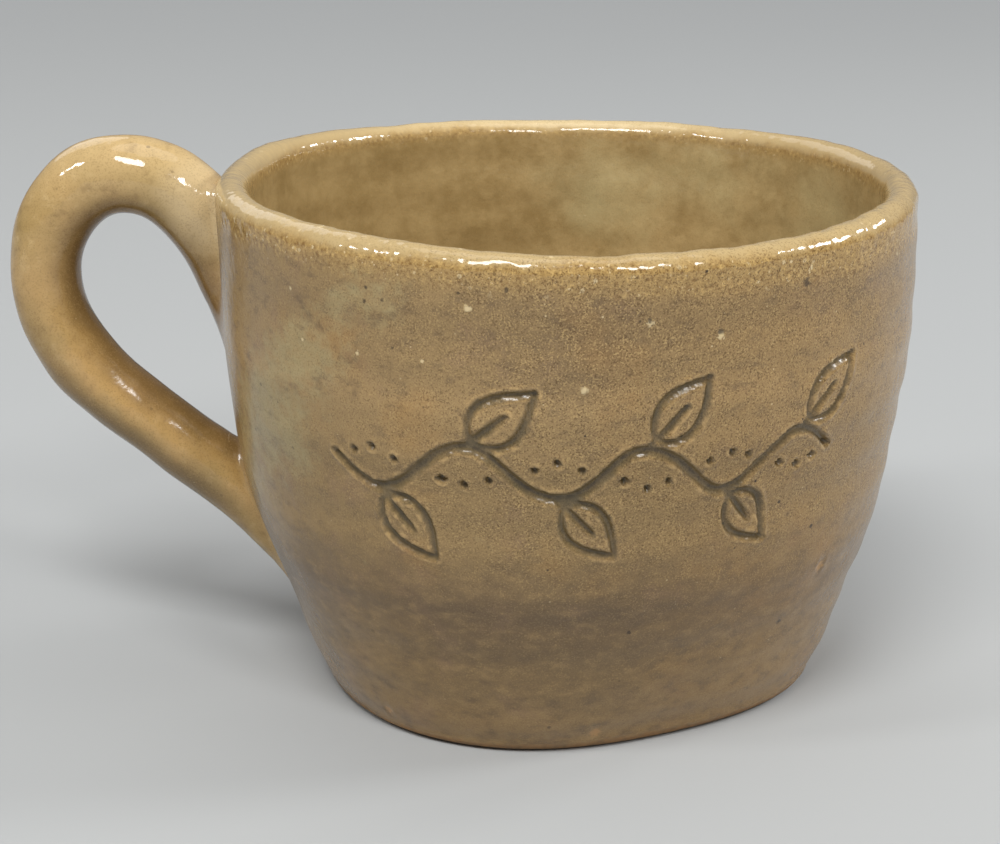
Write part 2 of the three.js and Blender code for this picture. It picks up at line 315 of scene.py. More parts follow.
@dataclass(frozen=True)
class PressedWall:
    """The form of the thrown wall: turned about the Z axis, then pressed out of round while soft."""

    cup_height: float = 70 * MM
    rim_diameter: float = 92 * MM
    foot_diameter: float = 62 * MM
    fullness: float = 2.34
    ring_spacing: float = 23 * MM
    ring_depth: float = 0.5 * MM
    ring_fade: float = 60 * MM
    lowest_groove: float = 15 * MM
    lip_thickness: float = 4.4 * MM
    lower_thickness: float = 6 * MM
    floor_thickness: float = 6.5 * MM
    foot_oval: float = 2.17 * MM
    foot_oval_angle: float = math.radians(12)
    foot_lobe: float = 1.45 * MM
    foot_lobe_angle: float = math.radians(10)
    rim_oval: float = 1.37 * MM
    rim_oval_angle: float = math.radians(34)
    rim_lean: tuple[float, float] = (-1.14 * MM, -1.0 * MM)
    lip_wave: float = 0.57 * MM
    lip_wave_angle: float = math.radians(9)
    lip_wave_fade: float = 4
    join_press: float = 1.9 * MM
    join_bulge: float = 0.65 * MM
    join_bulge_height: float = 32 * MM
    join_push_sharpness: float = 12
    upper_join_drop: float = 13.3 * MM
    lower_join_height: float = 21.5 * MM
    search_steps: int = 4  # for where a point of the pressed wall was turned

    def _up(self, height: Array | float) -> Array:
        """A height as a share of the cup's."""
        return np.clip(np.asarray(height, float) / self.cup_height, 0, 1)

    def radius(self, height: Array | float) -> Array:
        """Outside radius of the turned wall.

        Args:
            height: Heights over the table.

        Returns:
            The radius at each.
        """
        height = np.asarray(height, float)
        fill = 1 - (1 - self._up(height)) ** self.fullness
        bowl = blend(self.foot_diameter, self.rim_diameter, fill) / 2
        over_groove = height - self.lowest_groove
        fade = np.exp(-np.maximum(over_groove, 0) / self.ring_fade)
        return bowl - self.ring_depth / 2 * fade * np.cos(TURN * over_groove / self.ring_spacing)

    def thickness(self, height: Array | float) -> Array:
        """Wall thickness, which tapers from the floor to the lip.

        Args:
            height: Heights over the table.

        Returns:
            The thickness at each.
        """
        rise = self.cup_height - self.floor_thickness
        share = np.clip((np.asarray(height, float) - self.floor_thickness) / rise, 0, 1)
        return blend(self.lower_thickness, self.lip_thickness, share)

    def inner_radius(self, height: Array | float) -> Array:
        """Inside radius of the turned wall at heights over the table."""
        return self.radius(height) - self.thickness(height)

    def _lip_level(self, angle: Array, up: Array) -> Array:
        """How far the wave of the lip lifts the wall at an angle and a share of its height."""
        return self.lip_wave * np.cos(2 * (angle - self.lip_wave_angle)) * up**self.lip_wave_fade

    def out_of_round(self, angle: Array, up: Array) -> Array:
        """How far the pressed wall stands outside its turned radius.

        Args:
            angle: Angles about the cup's axis.
            up: Shares of the cup's height.

        Returns:
            The distance at each.
        """
        foot = self.foot_oval * np.cos(2 * (angle - self.foot_oval_angle))
        foot = foot + self.foot_lobe * np.cos(3 * (angle - self.foot_lobe_angle))
        rim = self.rim_oval * np.cos(2 * (angle - self.rim_oval_angle))
        height = up * self.cup_height
        lobe = np.maximum(0, np.cos(angle - HANDLE_SIDE)) ** self.join_push_sharpness
        out = smoothstep(height, self.lower_join_height / 2, self.join_bulge_height)
        back = smoothstep(height, self.join_bulge_height, self.cup_height - self.upper_join_drop)
        return blend(foot, rim, up) + lobe * (self.join_bulge * out - self.join_press * back)

    def pressed(self, points: Array) -> Array:
        """Where points of the turned body went when the soft body was pressed out of round.

        Args:
            points: Rows of x, y and z.

        Returns:
            Their places in the pressed body.
        """
        x, y, z = np.moveaxis(points, -1, 0)
        up = self._up(z)
        angle = np.arctan2(y, x)
        stretch = 1 + self.out_of_round(angle, up) / self.radius(z)
        lean_x, lean_y = self.rim_lean
        moved = [x * stretch + lean_x * up, y * stretch + lean_y * up, z + self._lip_level(angle, up)]
        return np.stack(moved, axis=-1)

    def on_wall(self, angle: Array | float, height: Array | float) -> Array:
        """Points on the pressed wall's outside.

        Args:
            angle: Angles about the cup's axis, as turned.
            height: Heights over the table, as turned.

        Returns:
            Rows of x, y and z.
        """
        radius = self.radius(height)
        height = np.broadcast_to(np.asarray(height, float), radius.shape)
        return self.pressed(np.stack([radius * np.cos(angle), radius * np.sin(angle), height], axis=-1))

    def turned_place(self, points: Array) -> tuple[Array, Array]:
        """Where points of the pressed wall were turned.

        Args:
            points: Rows of x, y and z.

        Returns:
            Their angles about the cup's axis and their heights.
        """
        height = points[:, 2]
        for _ in range(self.search_steps):
            up = self._up(height)
            angle = np.arctan2(points[:, 1] - self.rim_lean[1] * up, points[:, 0] - self.rim_lean[0] * up)
            height = points[:, 2] - self._lip_level(angle, up)
        return angle, height

    def stand_off(self, points: Array) -> Array:
        """How far points lie outside the pressed wall, measured level.

        Args:
            points: Rows of x, y and z.

        Returns:
            The distance of each, which is below 0 inside the wall.
        """
        up = self._up(points[..., 2])
        x = points[..., 0] - self.rim_lean[0] * up
        y = points[..., 1] - self.rim_lean[1] * up
        return np.hypot(x, y) - self.radius(points[..., 2]) - self.out_of_round(np.arctan2(y, x), up)


@dataclass(frozen=True)
class Stroke:
    """One pull of a pointed tool through the leather-hard wall."""

    points: Array
    half_width: float
    depth: float
    end_width: float = 0.6  # of its width, where the tool goes in and comes out
    bed: float = 0.8  # below 1 its bed is broad, above 1 it is sharp

    def cut(self, places: Array) -> tuple[Array, Array]:
        """How the stroke marks the wall.

        Args:
            places: Rows of the way round and the height on the unrolled wall.

        Returns:
            Each place's distance outside the stroke's edge, and the depth of the cut there.
        """
        starts = self.points[:-1]
        spans = np.diff(self.points, axis=0)
        squares = np.maximum((spans**2).sum(1), SHORTEST)
        offsets = places[:, None, :] - starts[None]
        share = np.clip((offsets * spans).sum(2) / squares, 0, 1)
        gaps = np.linalg.norm(offsets - share[..., None] * spans, axis=2)
        nearest = gaps.argmin(1)
        rows = np.arange(len(places))
        gap = gaps[rows, nearest]
        along = (nearest + share[rows, nearest]) / len(starts)
        swell = np.sqrt(np.sin(math.pi * np.clip(along, 0, 1)))
        width = self.half_width * blend(self.end_width, 1, swell)
        return gap - width, self.depth * np.clip(1 - (gap / width) ** 2, 0, 1) ** self.bed


@dataclass(frozen=True)
class IncisedVine:
    """A plain running vine with leaves and pricked dots, cut into the wall's front."""

    middle_height: float = 42.5 * MM
    middle_angle: float = math.radians(7)  # from the front, towards +X
    half_length: float = 35 * MM
    wave_length: float = 23.4 * MM
    wave_height: float = 3.3 * MM
    leaf_length: float = 10 * MM
    leaf_half_width: float = 2.9 * MM
    leaf_lean: float = math.radians(46)
    leaf_lean_spread: float = 0.12  # in radians, either way
    leaf_sizes: Span = (0.92, 1.04)
    leaf_stalk: float = 1.3 * MM
    leaf_fullest: float = 0.75  # below 1 the leaf is fullest near its stalk
    rib_share: float = 0.6
    line_half_width: float = 0.82 * MM
    line_depth: float = 0.55 * MM
    fine_share: float = 0.74  # of the stem's line, for the leaves
    dot_radius: float = 0.85 * MM
    dot_depth: float = 0.95 * MM
    dot_drag: float = 0.1 * MM  # how far the tool slips in a prick
    tip_dot: float = 0.8  # of a dot's size, at the tip of a leaf
    dot_spacing: float = 2.9 * MM
    dot_scatter: float = 0.25 * MM
    dot_row_drop: float = 5.2 * MM
    dot_row_bow: float = 0.87 * MM  # how much nearer to the stem the outer dots lie
    wobble: Ripple = Ripple(seed=5, length=9 * MM, depth=0.22 * MM, count=8)
    burr_height: float = 0.15 * MM
    burr_width: float = 0.32 * MM
    reach: float = 2.5 * MM  # how far from a cut its marks still matter
    hand_seed: int = 5
    line_points: int = 85
    leaf_points: int = 17

    def _stem(self, along: Array | float) -> Array:
        """Height of the vine's stem over its middle line."""
        return self.wave_height * np.sin(TURN * np.asarray(along, float) / self.wave_length)

    def _dot(self, place: Array, size: float = 1) -> Stroke:
        """One prick of the tool."""
        slip = np.array([place, place + [0, self.dot_drag]])
        return Stroke(slip, self.dot_radius * size, self.dot_depth * size)

    def _leaf(self, foot: Array, lean: float, size: float) -> list[Stroke]:
        """The stalk, the two sides, the rib and the tip of one leaf.

        Args:
            foot: Where it leaves the stem.
            lean: The angle that it points at.
            size: Its size, where 1 is the usual one.

        Returns:
            Its strokes.
        """
        away = np.array([math.cos(lean), math.sin(lean)])
        across = np.array([-away[1], away[0]])
        base = foot + self.leaf_stalk * away
        share = np.linspace(0, 1, self.leaf_points)[:, None]
        middle = base + share * self.leaf_length * size * away
        bulge = self.leaf_half_width * size * np.sin(math.pi * share**self.leaf_fullest) * across
        ribbed = middle[: round(self.leaf_points * self.rib_share)]
        lines = [np.array([foot, base]), middle + bulge, middle - bulge, ribbed]
        strokes = [Stroke(line, self.line_half_width * self.fine_share, self.line_depth) for line in lines]
        return strokes + [self._dot(middle[-1], self.tip_dot)]

    def strokes(self) -> list[Stroke]:
        """Every pull of the tool.

        Returns:
            The strokes, on the unrolled wall with the vine's middle at the origin.
        """
        draw = np.random.default_rng(self.hand_seed)
        along = np.linspace(-self.half_length, self.half_length, self.line_points)
        shaken = self.wobble.at(np.c_[along, along * 0, along * 0])
        stem = np.c_[along, self._stem(along) + shaken]
        ends = [self._dot(stem[0]), self._dot(stem[-1])]
        made = [Stroke(stem, self.line_half_width, self.line_depth), *ends]
        first_crest = -self.half_length + self.wave_length / 4
        for place in np.arange(first_crest, self.half_length, self.wave_length / 2):
            foot = np.array([place, float(self._stem(place))])
            side = 1 if foot[1] > 0 else -1
            lean = side * (self.leaf_lean + draw.uniform(-self.leaf_lean_spread, self.leaf_lean_spread))
            made += self._leaf(foot, lean, draw.uniform(*self.leaf_sizes))
            for step in (-1, 0, 1):
                drop = self.dot_row_drop - self.dot_row_bow * abs(step)
                scatter = draw.uniform(-self.dot_scatter, self.dot_scatter, 2)
                made.append(self._dot(foot + [step * self.dot_spacing, -side * drop] + scatter))
        return made

    def marks(self, angle: Array, height: Array, wall_radius: float) -> tuple[Array, Array]:
        """The vine's marks on the wall.

        Args:
            angle: Angles about the cup's axis.
            height: Heights over the table.
            wall_radius: Radius at which the drawing is unrolled.

        Returns:
            The distance outside the nearest cut's edge, and how far the clay is raised or cut.
        """
        round_wall = around(angle, FRONT + self.middle_angle) * wall_radius
        places = np.stack([round_wall, height - self.middle_height], axis=1)
        edge = np.full(len(places), self.reach)
        cut = np.zeros(len(places))
        tall = self.wave_height + self.leaf_length + self.reach
        near = (np.abs(places[:, 0]) < self.half_length + tall) & (np.abs(places[:, 1]) < tall)
        chosen = np.flatnonzero(near)
        for stroke in self.strokes():
            low = stroke.points.min(0) - self.reach
            high = stroke.points.max(0) + self.reach
            inside = chosen[((places[chosen] > low) & (places[chosen] < high)).all(1)]
            if len(inside) == 0:
                continue
            gap, depth = stroke.cut(places[inside])
            edge[inside] = np.minimum(edge[inside], gap)
            cut[inside] = np.maximum(cut[inside], depth)
        ridge = np.exp(-(((edge - self.burr_width / 2) / self.burr_width) ** 2))
        return edge, self.burr_height * ridge * (edge > -self.burr_width / 2) - cut


class Mark(Enum):
    """What a flaw of the glaze looks like."""

    CREAM = "cream"
    IRON = "iron"
    PIT = "pit"
    CHIP = "chip"


@dataclass(frozen=True)
class Flaw:
    """One speck, pinhole or nick that can be told apart on the wall."""

    mark: Mark
    turn: float  # in degrees from the front, towards +X
    height: float
    radius: float
    raised: float = 0.0  # how far its middle stands out of the wall
    rim_place: float = 1.2  # of the radius, for the raised rim of a pit or a chip
    rim_width: float = 0.35
    rim_share: float = 0.3  # of the pit's depth

    def turned_place(self) -> Array:
        """Its middle on the turned wall, before the wall was pressed.

        Returns:
            The x, y and z of it.
        """
        angle = FRONT + math.radians(self.turn)
        radius = float(PressedWall().radius(self.height))
        return np.array([radius * math.cos(angle), radius * math.sin(angle), self.height])

    def place(self, drop: float = 0.0) -> Triple:
        """Its middle on the wall's finished surface.

        Args:
            drop: How far below it the place is taken.

        Returns:
            The x, y and z of it, in millimetres.
        """
        turned = self.turned_place()
        out = turned * [1, 1, 0] / np.linalg.norm(turned[:2])
        pressed = PressedWall().pressed(turned) + out * (self.raised + Clay().unevenness(turned[None])[0])
        return tuple(float(value) / MM for value in pressed - [0, 0, drop])

    def relief(self, turned: Array) -> Array:
        """How far the flaw raises the wall or pits it.

        Args:
            turned: Points of the turned wall.

        Returns:
            The height at each point.
        """
        gap = np.linalg.norm(turned - self.turned_place(), axis=1) / self.radius
        rim = np.exp(-(((gap - self.rim_place) / self.rim_width) ** 2)) * (self.raised < 0)
        return self.raised * np.clip(1 - gap**2, 0, 1) + self.rim_share * abs(self.raised) * rim


WALL_FLAWS = (
    Flaw(Mark.CREAM, 3.8, 53.8 * MM, 0.6 * MM, raised=0.25 * MM),
    Flaw(Mark.PIT, 25.3, 60.1 * MM, 0.5 * MM, raised=-0.3 * MM),
    Flaw(Mark.PIT, 13.6, 62.3 * MM, 0.45 * MM, raised=-0.2 * MM),
    Flaw(Mark.IRON, 41.1, 64.8 * MM, 0.75 * MM),
    Flaw(Mark.CHIP, 58.6, 23.4 * MM, 1.1 * MM, raised=-0.25 * MM),
    Flaw(Mark.CREAM, 48.6, 53.5 * MM, 0.6 * MM),
    Flaw(Mark.IRON, 52.3, 16.1 * MM, 0.55 * MM),
    Flaw(Mark.IRON, 14.0, 19.5 * MM, 0.4 * MM),
    Flaw(Mark.CHIP, -40.2, 3.4 * MM, 0.9 * MM, raised=-0.2 * MM),
    Flaw(Mark.CHIP, 9.5, 2.8 * MM, 1.0 * MM, raised=-0.2 * MM),
    Flaw(Mark.CREAM, -13.3, 63.5 * MM, 0.55 * MM, raised=0.2 * MM),
    Flaw(Mark.CREAM, -43.4, 62.2 * MM, 0.3 * MM),
    Flaw(Mark.CREAM, -41.3, 56.1 * MM, 0.28 * MM),
    Flaw(Mark.CREAM, -30.9, 56.1 * MM, 0.3 * MM),
    Flaw(Mark.CREAM, -20.3, 56.4 * MM, 0.28 * MM),
    Flaw(Mark.IRON, -29.3, 62.8 * MM, 0.36 * MM),
    Flaw(Mark.IRON, -29.0, 64.5 * MM, 0.28 * MM),
    Flaw(Mark.IRON, -26.3, 63.3 * MM, 0.28 * MM),
    Flaw(Mark.IRON, -24.9, 57.6 * MM, 0.28 * MM),
    Flaw(Mark.IRON, -7.7, 66.0 * MM, 0.36 * MM),
)


@dataclass
class ThrownBody:
    """Floor, wall and lip, thrown from one lump: turned, pressed out of round, then carved."""

    wall: PressedWall
    clay: Clay
    vine: IncisedVine = field(default_factory=IncisedVine)
    cove: float = 9 * MM
    bevel_height: float = 1.5 * MM
    bevel_width: float = 1.8 * MM
    carved_low: float = 27 * MM
    carved_high: float = 61.5 * MM
    carved_half_angle: float = math.radians(66)
    carved_step: float = 0.36 * MM
    low_step: float = 0.9 * MM
    high_step: float = 0.7 * MM
    inner_step: float = 1.6 * MM
    back_step: float = 1.9 * MM
    lip_steps: int = 20
    cove_steps: int = 10
    floor_rings: int = 7
    underside_rings: int = 12
    bevel_steps: int = 5
    inside_span: Span = (-0.2, 0.9)  # across the lip, of its radius, where its inside starts and is full
    table_clear: float = 2.5 * MM  # over which the relief grows, so that the foot stands flat
    spiral_rise: float = 6.5 * MM  # of the finger's spiral, each turn
    spiral_depth: float = 0.07 * MM
    spiral_inside: float = 1.6  # how much deeper it is inside
    spiral_wander: Ripple = Ripple(seed=21, length=30 * MM, depth=0.35)  # in radians
    spiral_below_lip: Span = (1 * MM, 6 * MM)
    handle_clear: Span = (math.radians(24), math.radians(40))  # it was wiped away round the joins
    lip_reach: float = 7 * MM  # how far down the lip's own unevenness runs
    lip_ripples: tuple[Ripple, ...] = (
        Ripple(seed=22, length=11 * MM, depth=0.03 * MM),
        Ripple(seed=23, length=4.5 * MM, depth=0.035 * MM),
        Ripple(seed=25, length=2 * MM, depth=0.02 * MM),
    )
    burr_crumbs: Ripple = Ripple(seed=24, length=1.7 * MM, depth=0.35)
    foot_lift: float = 0.7 * MM  # how much higher the bevel is where the foot curled up
    foot_lift_angle: float = math.radians(-52)
    foot_lift_sharpness: float = 3
    foot_lift_end: Span = (2 * MM, 9 * MM)
    core_rings: int = 60
    core_sides: int = 180
    core_margin: float = 20 * MM  # how far it runs past the cup, up and down

    def _outside(self, bevel_top: float) -> list[Span]:
        """The profile from the middle of the underside to the lip.

        Args:
            bevel_top: The radius at the top of the foot's bevel.

        Returns:
            Its points, as radii and heights.
        """
        wall = self.wall
        flat = float(wall.radius(0)) - self.bevel_width
        underside = [(flat * i / self.underside_rings, 0.0) for i in range(self.underside_rings)]
        bevel = []
        for turn in np.linspace(0, math.pi / 2, self.bevel_steps, endpoint=False):
            out = blend(flat, bevel_top, math.sin(turn))
            bevel.append((out, self.bevel_height * (1 - math.cos(turn))))
        lip_height = wall.cup_height - wall.lip_thickness / 2
        low = np.arange(self.bevel_height, self.carved_low, self.low_step)
        carved = np.arange(self.carved_low, self.carved_high, self.carved_step)
        high = np.arange(self.carved_high, lip_height - self.high_step / 2, self.high_step)
        heights = np.concatenate([low, carved, high])
        return underside + bevel + list(zip(wall.radius(heights), heights))

    def _cove(self, top: float) -> list[Span]:
        """The curve from the inside wall to the floor, as a quadratic arc.

        Args:
            top: The height at which it leaves the wall.

        Returns:
            Its points, as radii and heights.
        """
        floor = self.wall.floor_thickness
        start = np.array([float(self.wall.inner_radius(top)), top])
        corner = np.array([float(self.wall.inner_radius(floor)), floor])
        end = np.array([start[0] - self.cove, floor])
        share = np.linspace(0, 1, self.cove_steps + 1)[:, None]
        arc = (1 - share) ** 2 * start + 2 * share * (1 - share) * corner + share**2 * end
        return [tuple(point) for point in arc]

    def profile(self) -> Array:
        """The half profile, from the middle of the underside round to the middle of the floor.

        Returns:
            Its points, as rows of a radius and a height.
        """
        wall = self.wall
        lip_radius = wall.lip_thickness / 2
        lip_height = wall.cup_height - lip_radius
        lip_centre = float(wall.radius(lip_height)) - lip_radius
        cove_top = wall.floor_thickness + self.cove
        lip = []
        for turn in np.linspace(0, math.pi, self.lip_steps + 1):
            lip.append((lip_centre + lip_radius * math.cos(turn), lip_height + lip_radius * math.sin(turn)))
        heights = np.arange(lip_height - self.inner_step, cove_top, -self.inner_step)
        inside = list(zip(wall.inner_radius(heights), heights))
        cove = self._cove(cove_top)
        shares = [1 - ring / self.floor_rings for ring in range(1, self.floor_rings)]
        floor = [(cove[-1][0] * share, wall.floor_thickness) for share in shares]
        outside = self._outside(float(wall.radius(self.bevel_height)))
        return np.array(outside + lip + inside + cove + floor + [(0.0, wall.floor_thickness)])

    def turned(self, name: str) -> bpy.types.Object:
        """Turns the round body before it was pressed, with finer steps across the carved front.

        Args:
            name: The object's name.

        Returns:
            The object.
        """
        radius, height = self.profile().T
        start = FRONT + self.carved_half_angle  # the spin goes clockwise, seen from above
        line = np.stack([radius * math.cos(start), radius * math.sin(start), height], axis=1)
        obj = MeshTools.line(name, line)
        carved = 2 * self.carved_half_angle
        stretches = [(carved, self.carved_step), (TURN - carved, self.back_step)]
        rim = self.wall.rim_diameter / 2
        MeshTools.spin(obj, [(angle, round(angle * rim / step)) for angle, step in stretches])
        return obj

    def _insideness(self, radius: Array, height: Array) -> Array:
        """How far round the lip points lie, towards the inside of the cup.

        Args:
            radius: Radii of points of the turned body.
            height: Their heights.

        Returns:
            0 on the outside and 1 on the inside, turning over along the crest of the lip.
        """
        middle = self.wall.radius(height) - self.wall.thickness(height) / 2
        across = (middle - radius) / (self.wall.lip_thickness / 2)
        inside = smoothstep(across, *self.inside_span)
        return np.where(height < self.wall.floor_thickness / 2, 0, inside)

    def _relief(self, turned: Array, pressed: Array) -> tuple[Array, Array, Array]:
        """How the finished surface departs from the smooth pressed form.

        Args:
            turned: The body's points before it was pressed.
            pressed: The same points after.

        Returns:
            The distance outside the nearest carved edge, the share of inside, and how far each
            point moves outwards.
        """
        wall = self.wall
        angle = np.arctan2(turned[:, 1], turned[:, 0])
        height = turned[:, 2]
        inside = self._insideness(np.hypot(turned[:, 0], turned[:, 1]), height)
        on_table = smoothstep(height, 0, self.table_clear)
        outside = (1 - inside) * on_table

        turns = height / self.spiral_rise * TURN - angle
        clear = smoothstep(np.abs(around(angle, HANDLE_SIDE)), *self.handle_clear)
        clear = clear * outside + self.spiral_inside * inside
        clear = clear * smoothstep(wall.cup_height - height, *self.spiral_below_lip)
        raised = self.spiral_depth * clear * np.cos(turns + self.spiral_wander.at(pressed))
        lip = smoothstep(height, wall.cup_height - self.lip_reach, wall.cup_height)
        raised = raised + lip * sum(ripple.at(pressed) for ripple in self.lip_ripples)
        raised = raised + self.clay.unevenness(pressed) * np.maximum(on_table, inside)

        edge, carving = self.vine.marks(angle, height, wall.rim_diameter / 2)
        edge = np.where(outside > 0.5, edge, self.vine.reach)
        crumbs = np.maximum(1 + self.burr_crumbs.at(pressed), 0)
        carving = np.where(carving > 0, carving * crumbs, carving)
        flaws = sum(flaw.relief(turned) for flaw in WALL_FLAWS if flaw.raised)
        return edge, inside, raised + (carving + flaws) * outside

    def _lifted_foot(self, turned: Array) -> Array:
        """Raises the bevel where the foot curled up as it dried.

        Args:
            turned: The turned points.

        Returns:
            The points with the bevel raised.
        """
        angle = np.arctan2(turned[:, 1], turned[:, 0])
        radius = np.hypot(turned[:, 0], turned[:, 1])
        height = turned[:, 2]
        foot = float(self.wall.radius(0))
        lobe = np.maximum(0, np.cos(around(angle, self.foot_lift_angle))) ** self.foot_lift_sharpness
        rim = smoothstep(radius, foot - self.bevel_width, foot)
        near = smoothstep(height, 0, self.bevel_height) * (1 - smoothstep(height, *self.foot_lift_end))
        lifted = turned.copy()
        lifted[:, 2] += self.foot_lift * lobe * rim * near
        return lifted

    def build(self, material: bpy.types.Material) -> None:
        """Makes the body.

        Args:
            material: Its glaze.
        """
        obj = self.turned("cup_body")
        turned = MeshTools.points(obj)
        pressed = self.wall.pressed(self._lifted_foot(turned))
        MeshTools.move(obj, pressed)
        edge, inside, raised = self._relief(turned, pressed)
        MeshTools.raise_skin(obj, raised)
        MeshTools.store(obj, "inside", inside)
        MeshTools.store(obj, "groove", edge / MM)
        MeshTools.finish(obj, Piece.BODY, Slot.BODY, material)

    def core(self, inset: float) -> bpy.types.Object:
        """A closed solid that fills the wall and the cup, for cutting what is luted to the wall.

        Args:
            inset: How far it lies inside the wall's outer surface.

        Returns:
            The solid.
        """
        wall = self.wall
        heights = np.linspace(0, wall.cup_height, self.core_rings)
        radii = wall.radius(heights) - inset
        bottom, top = -self.core_margin, wall.cup_height + self.core_margin
        radius = np.r_[0, radii[0], radii, radii[-1], 0]
        height = np.r_[bottom, bottom, heights, top, top]
        obj = MeshTools.line("wall_core", np.stack([radius, radius * 0, height], axis=1))
        MeshTools.spin(obj, [(TURN, self.core_sides)])
        MeshTools.move(obj, wall.pressed(MeshTools.points(obj)))
        return obj


@dataclass
class CoilLine:
    """The rolled coil's centreline, which lies in the XZ plane, and its thickness."""

    wall: PressedWall
    diameter_top: float = 10.9 * MM
    diameter_arm: float = 9.6 * MM
    taper: Span = (0.15, 0.5)  # of its length
    loop_rise: float = 3.9 * MM
    loop_stand_off: float = 13.8 * MM
    loop_reach: float = 11.2 * MM
    loop_drop: float = 13.4 * MM
    upper_join_slope: float = math.radians(-65)  # towards the cup's axis
    upper_join_hold: float = 5.8 * MM  # how long the line holds that slope
    loop_top_hold: float = 7.2 * MM  # and runs level at the top of the loop
    loop_side_hold: float = 16.4 * MM  # and hangs straight down at its side
    lower_join_slope: float = math.radians(-45)
    lower_join_hold: float = 18.6 * MM
    root_depth: float = 14 * MM
    quarter_hold: float = 0.5523  # of the radius, where a cubic curve stands for a quarter of an ellipse
    arc_points: int = 200

    def __post_init__(self) -> None:
        """Lays out the centreline."""
        self.points = self._path()
        steps = np.linalg.norm(np.diff(self.points, axis=0), axis=1)
        self.length = float(steps.sum())
        self._shares = np.r_[0, np.cumsum(steps)] / self.length
        self._tangents = unit(np.gradient(self.points, self._shares, axis=0))

    def _path(self) -> Array:
        """Lays out two roots, a quarter of an ellipse and a bend on each side of it.

        Returns:
            The centreline's points, from the upper root to the lower one.
        """
        wall = self.wall
        upper = self._join(wall.cup_height - wall.upper_join_drop)
        lower = self._join(wall.lower_join_height)
        top_height = wall.cup_height + self.loop_rise - self.diameter_top / 2
        top = np.array([-(wall.rim_diameter / 2 + self.loop_stand_off), 0, top_height])
        side = top - [self.loop_reach, 0, self.loop_drop]
        level, down = np.array([1.0, 0, 0]), np.array([0, 0, -1.0])
        upper_in, lower_in = self._inwards(self.upper_join_slope), self._inwards(self.lower_join_slope)
        upper_root = upper + self.root_depth * upper_in
        lower_root = lower + self.root_depth * lower_in
        ellipse_top = top - self.quarter_hold * self.loop_reach * level
        ellipse_side = side - self.quarter_hold * self.loop_drop * down
        above_join = upper - self.upper_join_hold * upper_in
        before_join = lower - self.lower_join_hold * lower_in
        curves = [
            (upper_root, upper_root, upper, upper),
            (upper, above_join, top + self.loop_top_hold * level, top),
            (top, ellipse_top, ellipse_side, side),
            (side, side + self.loop_side_hold * down, before_join, lower),
            (lower, lower, lower_root, lower_root),
        ]
        share = np.linspace(0, 1, self.arc_points)[:, None]
        return np.vstack([cubic(*curve, share)[:-1] for curve in curves] + [lower_root])

    def _join(self, height: float) -> Array:
        """Where the line meets the wall at a height, in the plane of the handle."""
        return self.wall.on_wall(HANDLE_SIDE, height) * [1, 0, 1]

    @staticmethod
    def _inwards(slope: float) -> Array:
        """The direction towards the cup's axis at a slope."""
        return np.array([math.cos(slope), 0, math.sin(slope)])

    def _between(self, share: Array, rows: Array) -> Array:
        """Rows kept along the line, taken at shares of its length."""
        return np.stack([np.interp(share, self._shares, rows[:, k]) for k in range(3)], axis=-1)

    def centre(self, share: Array) -> Array:
        """Points of the centreline at shares of its length."""
        return self._between(share, self.points)

    def outward(self, share: Array) -> Array:
        """Directions away from the loop's middle, square to the coil."""
        return unit(np.cross([0, 1, 0], self._between(share, self._tangents)))

    def radius(self, share: Array) -> Array:
        """The coil's radius, which thins down from the loop to the arm."""
        return blend(self.diameter_top, self.diameter_arm, smoothstep(share, *self.taper)) / 2

    def on_skin(self, share: Array, turn: Array) -> Array:
        """Points on the coil's skin.

        Args:
            share: Shares of the coil's length.
            turn: Angles round the coil, from the outer side of its loop.

        Returns:
            Rows of x, y and z.
        """
        out = self.outward(share) * np.cos(turn)[..., None]
        side = np.array([0.0, 1.0, 0.0]) * np.sin(turn)[..., None]
        return self.centre(share) + (out + side) * self.radius(share)[..., None]

    def nearest_share(self, points: Array) -> Array:
        """Where along the coil points lie.

        Args:
            points: Rows of x, y and z.

        Returns:
            The share of the coil's length that lies nearest to each.
        """
        line = self.points[:, [0, 2]]
        gaps = ((points[:, None, [0, 2]] - line[None]) ** 2).sum(2)
        return self._shares[gaps.argmin(1)]

    def mark(self, obj: bpy.types.Object) -> None:
        """Keeps at each vertex how far round to the loop's inner side it lies, and how far down the coil.

        Args:
            obj: The handle or a join.
        """
        points = MeshTools.points(obj)
        share = self.nearest_share(points)
        offset = unit(points - self.centre(share))
        MeshTools.store(obj, "inner_side", 0.5 - 0.5 * (offset * self.outward(share)).sum(1))
        MeshTools.store(obj, "down_coil", share)


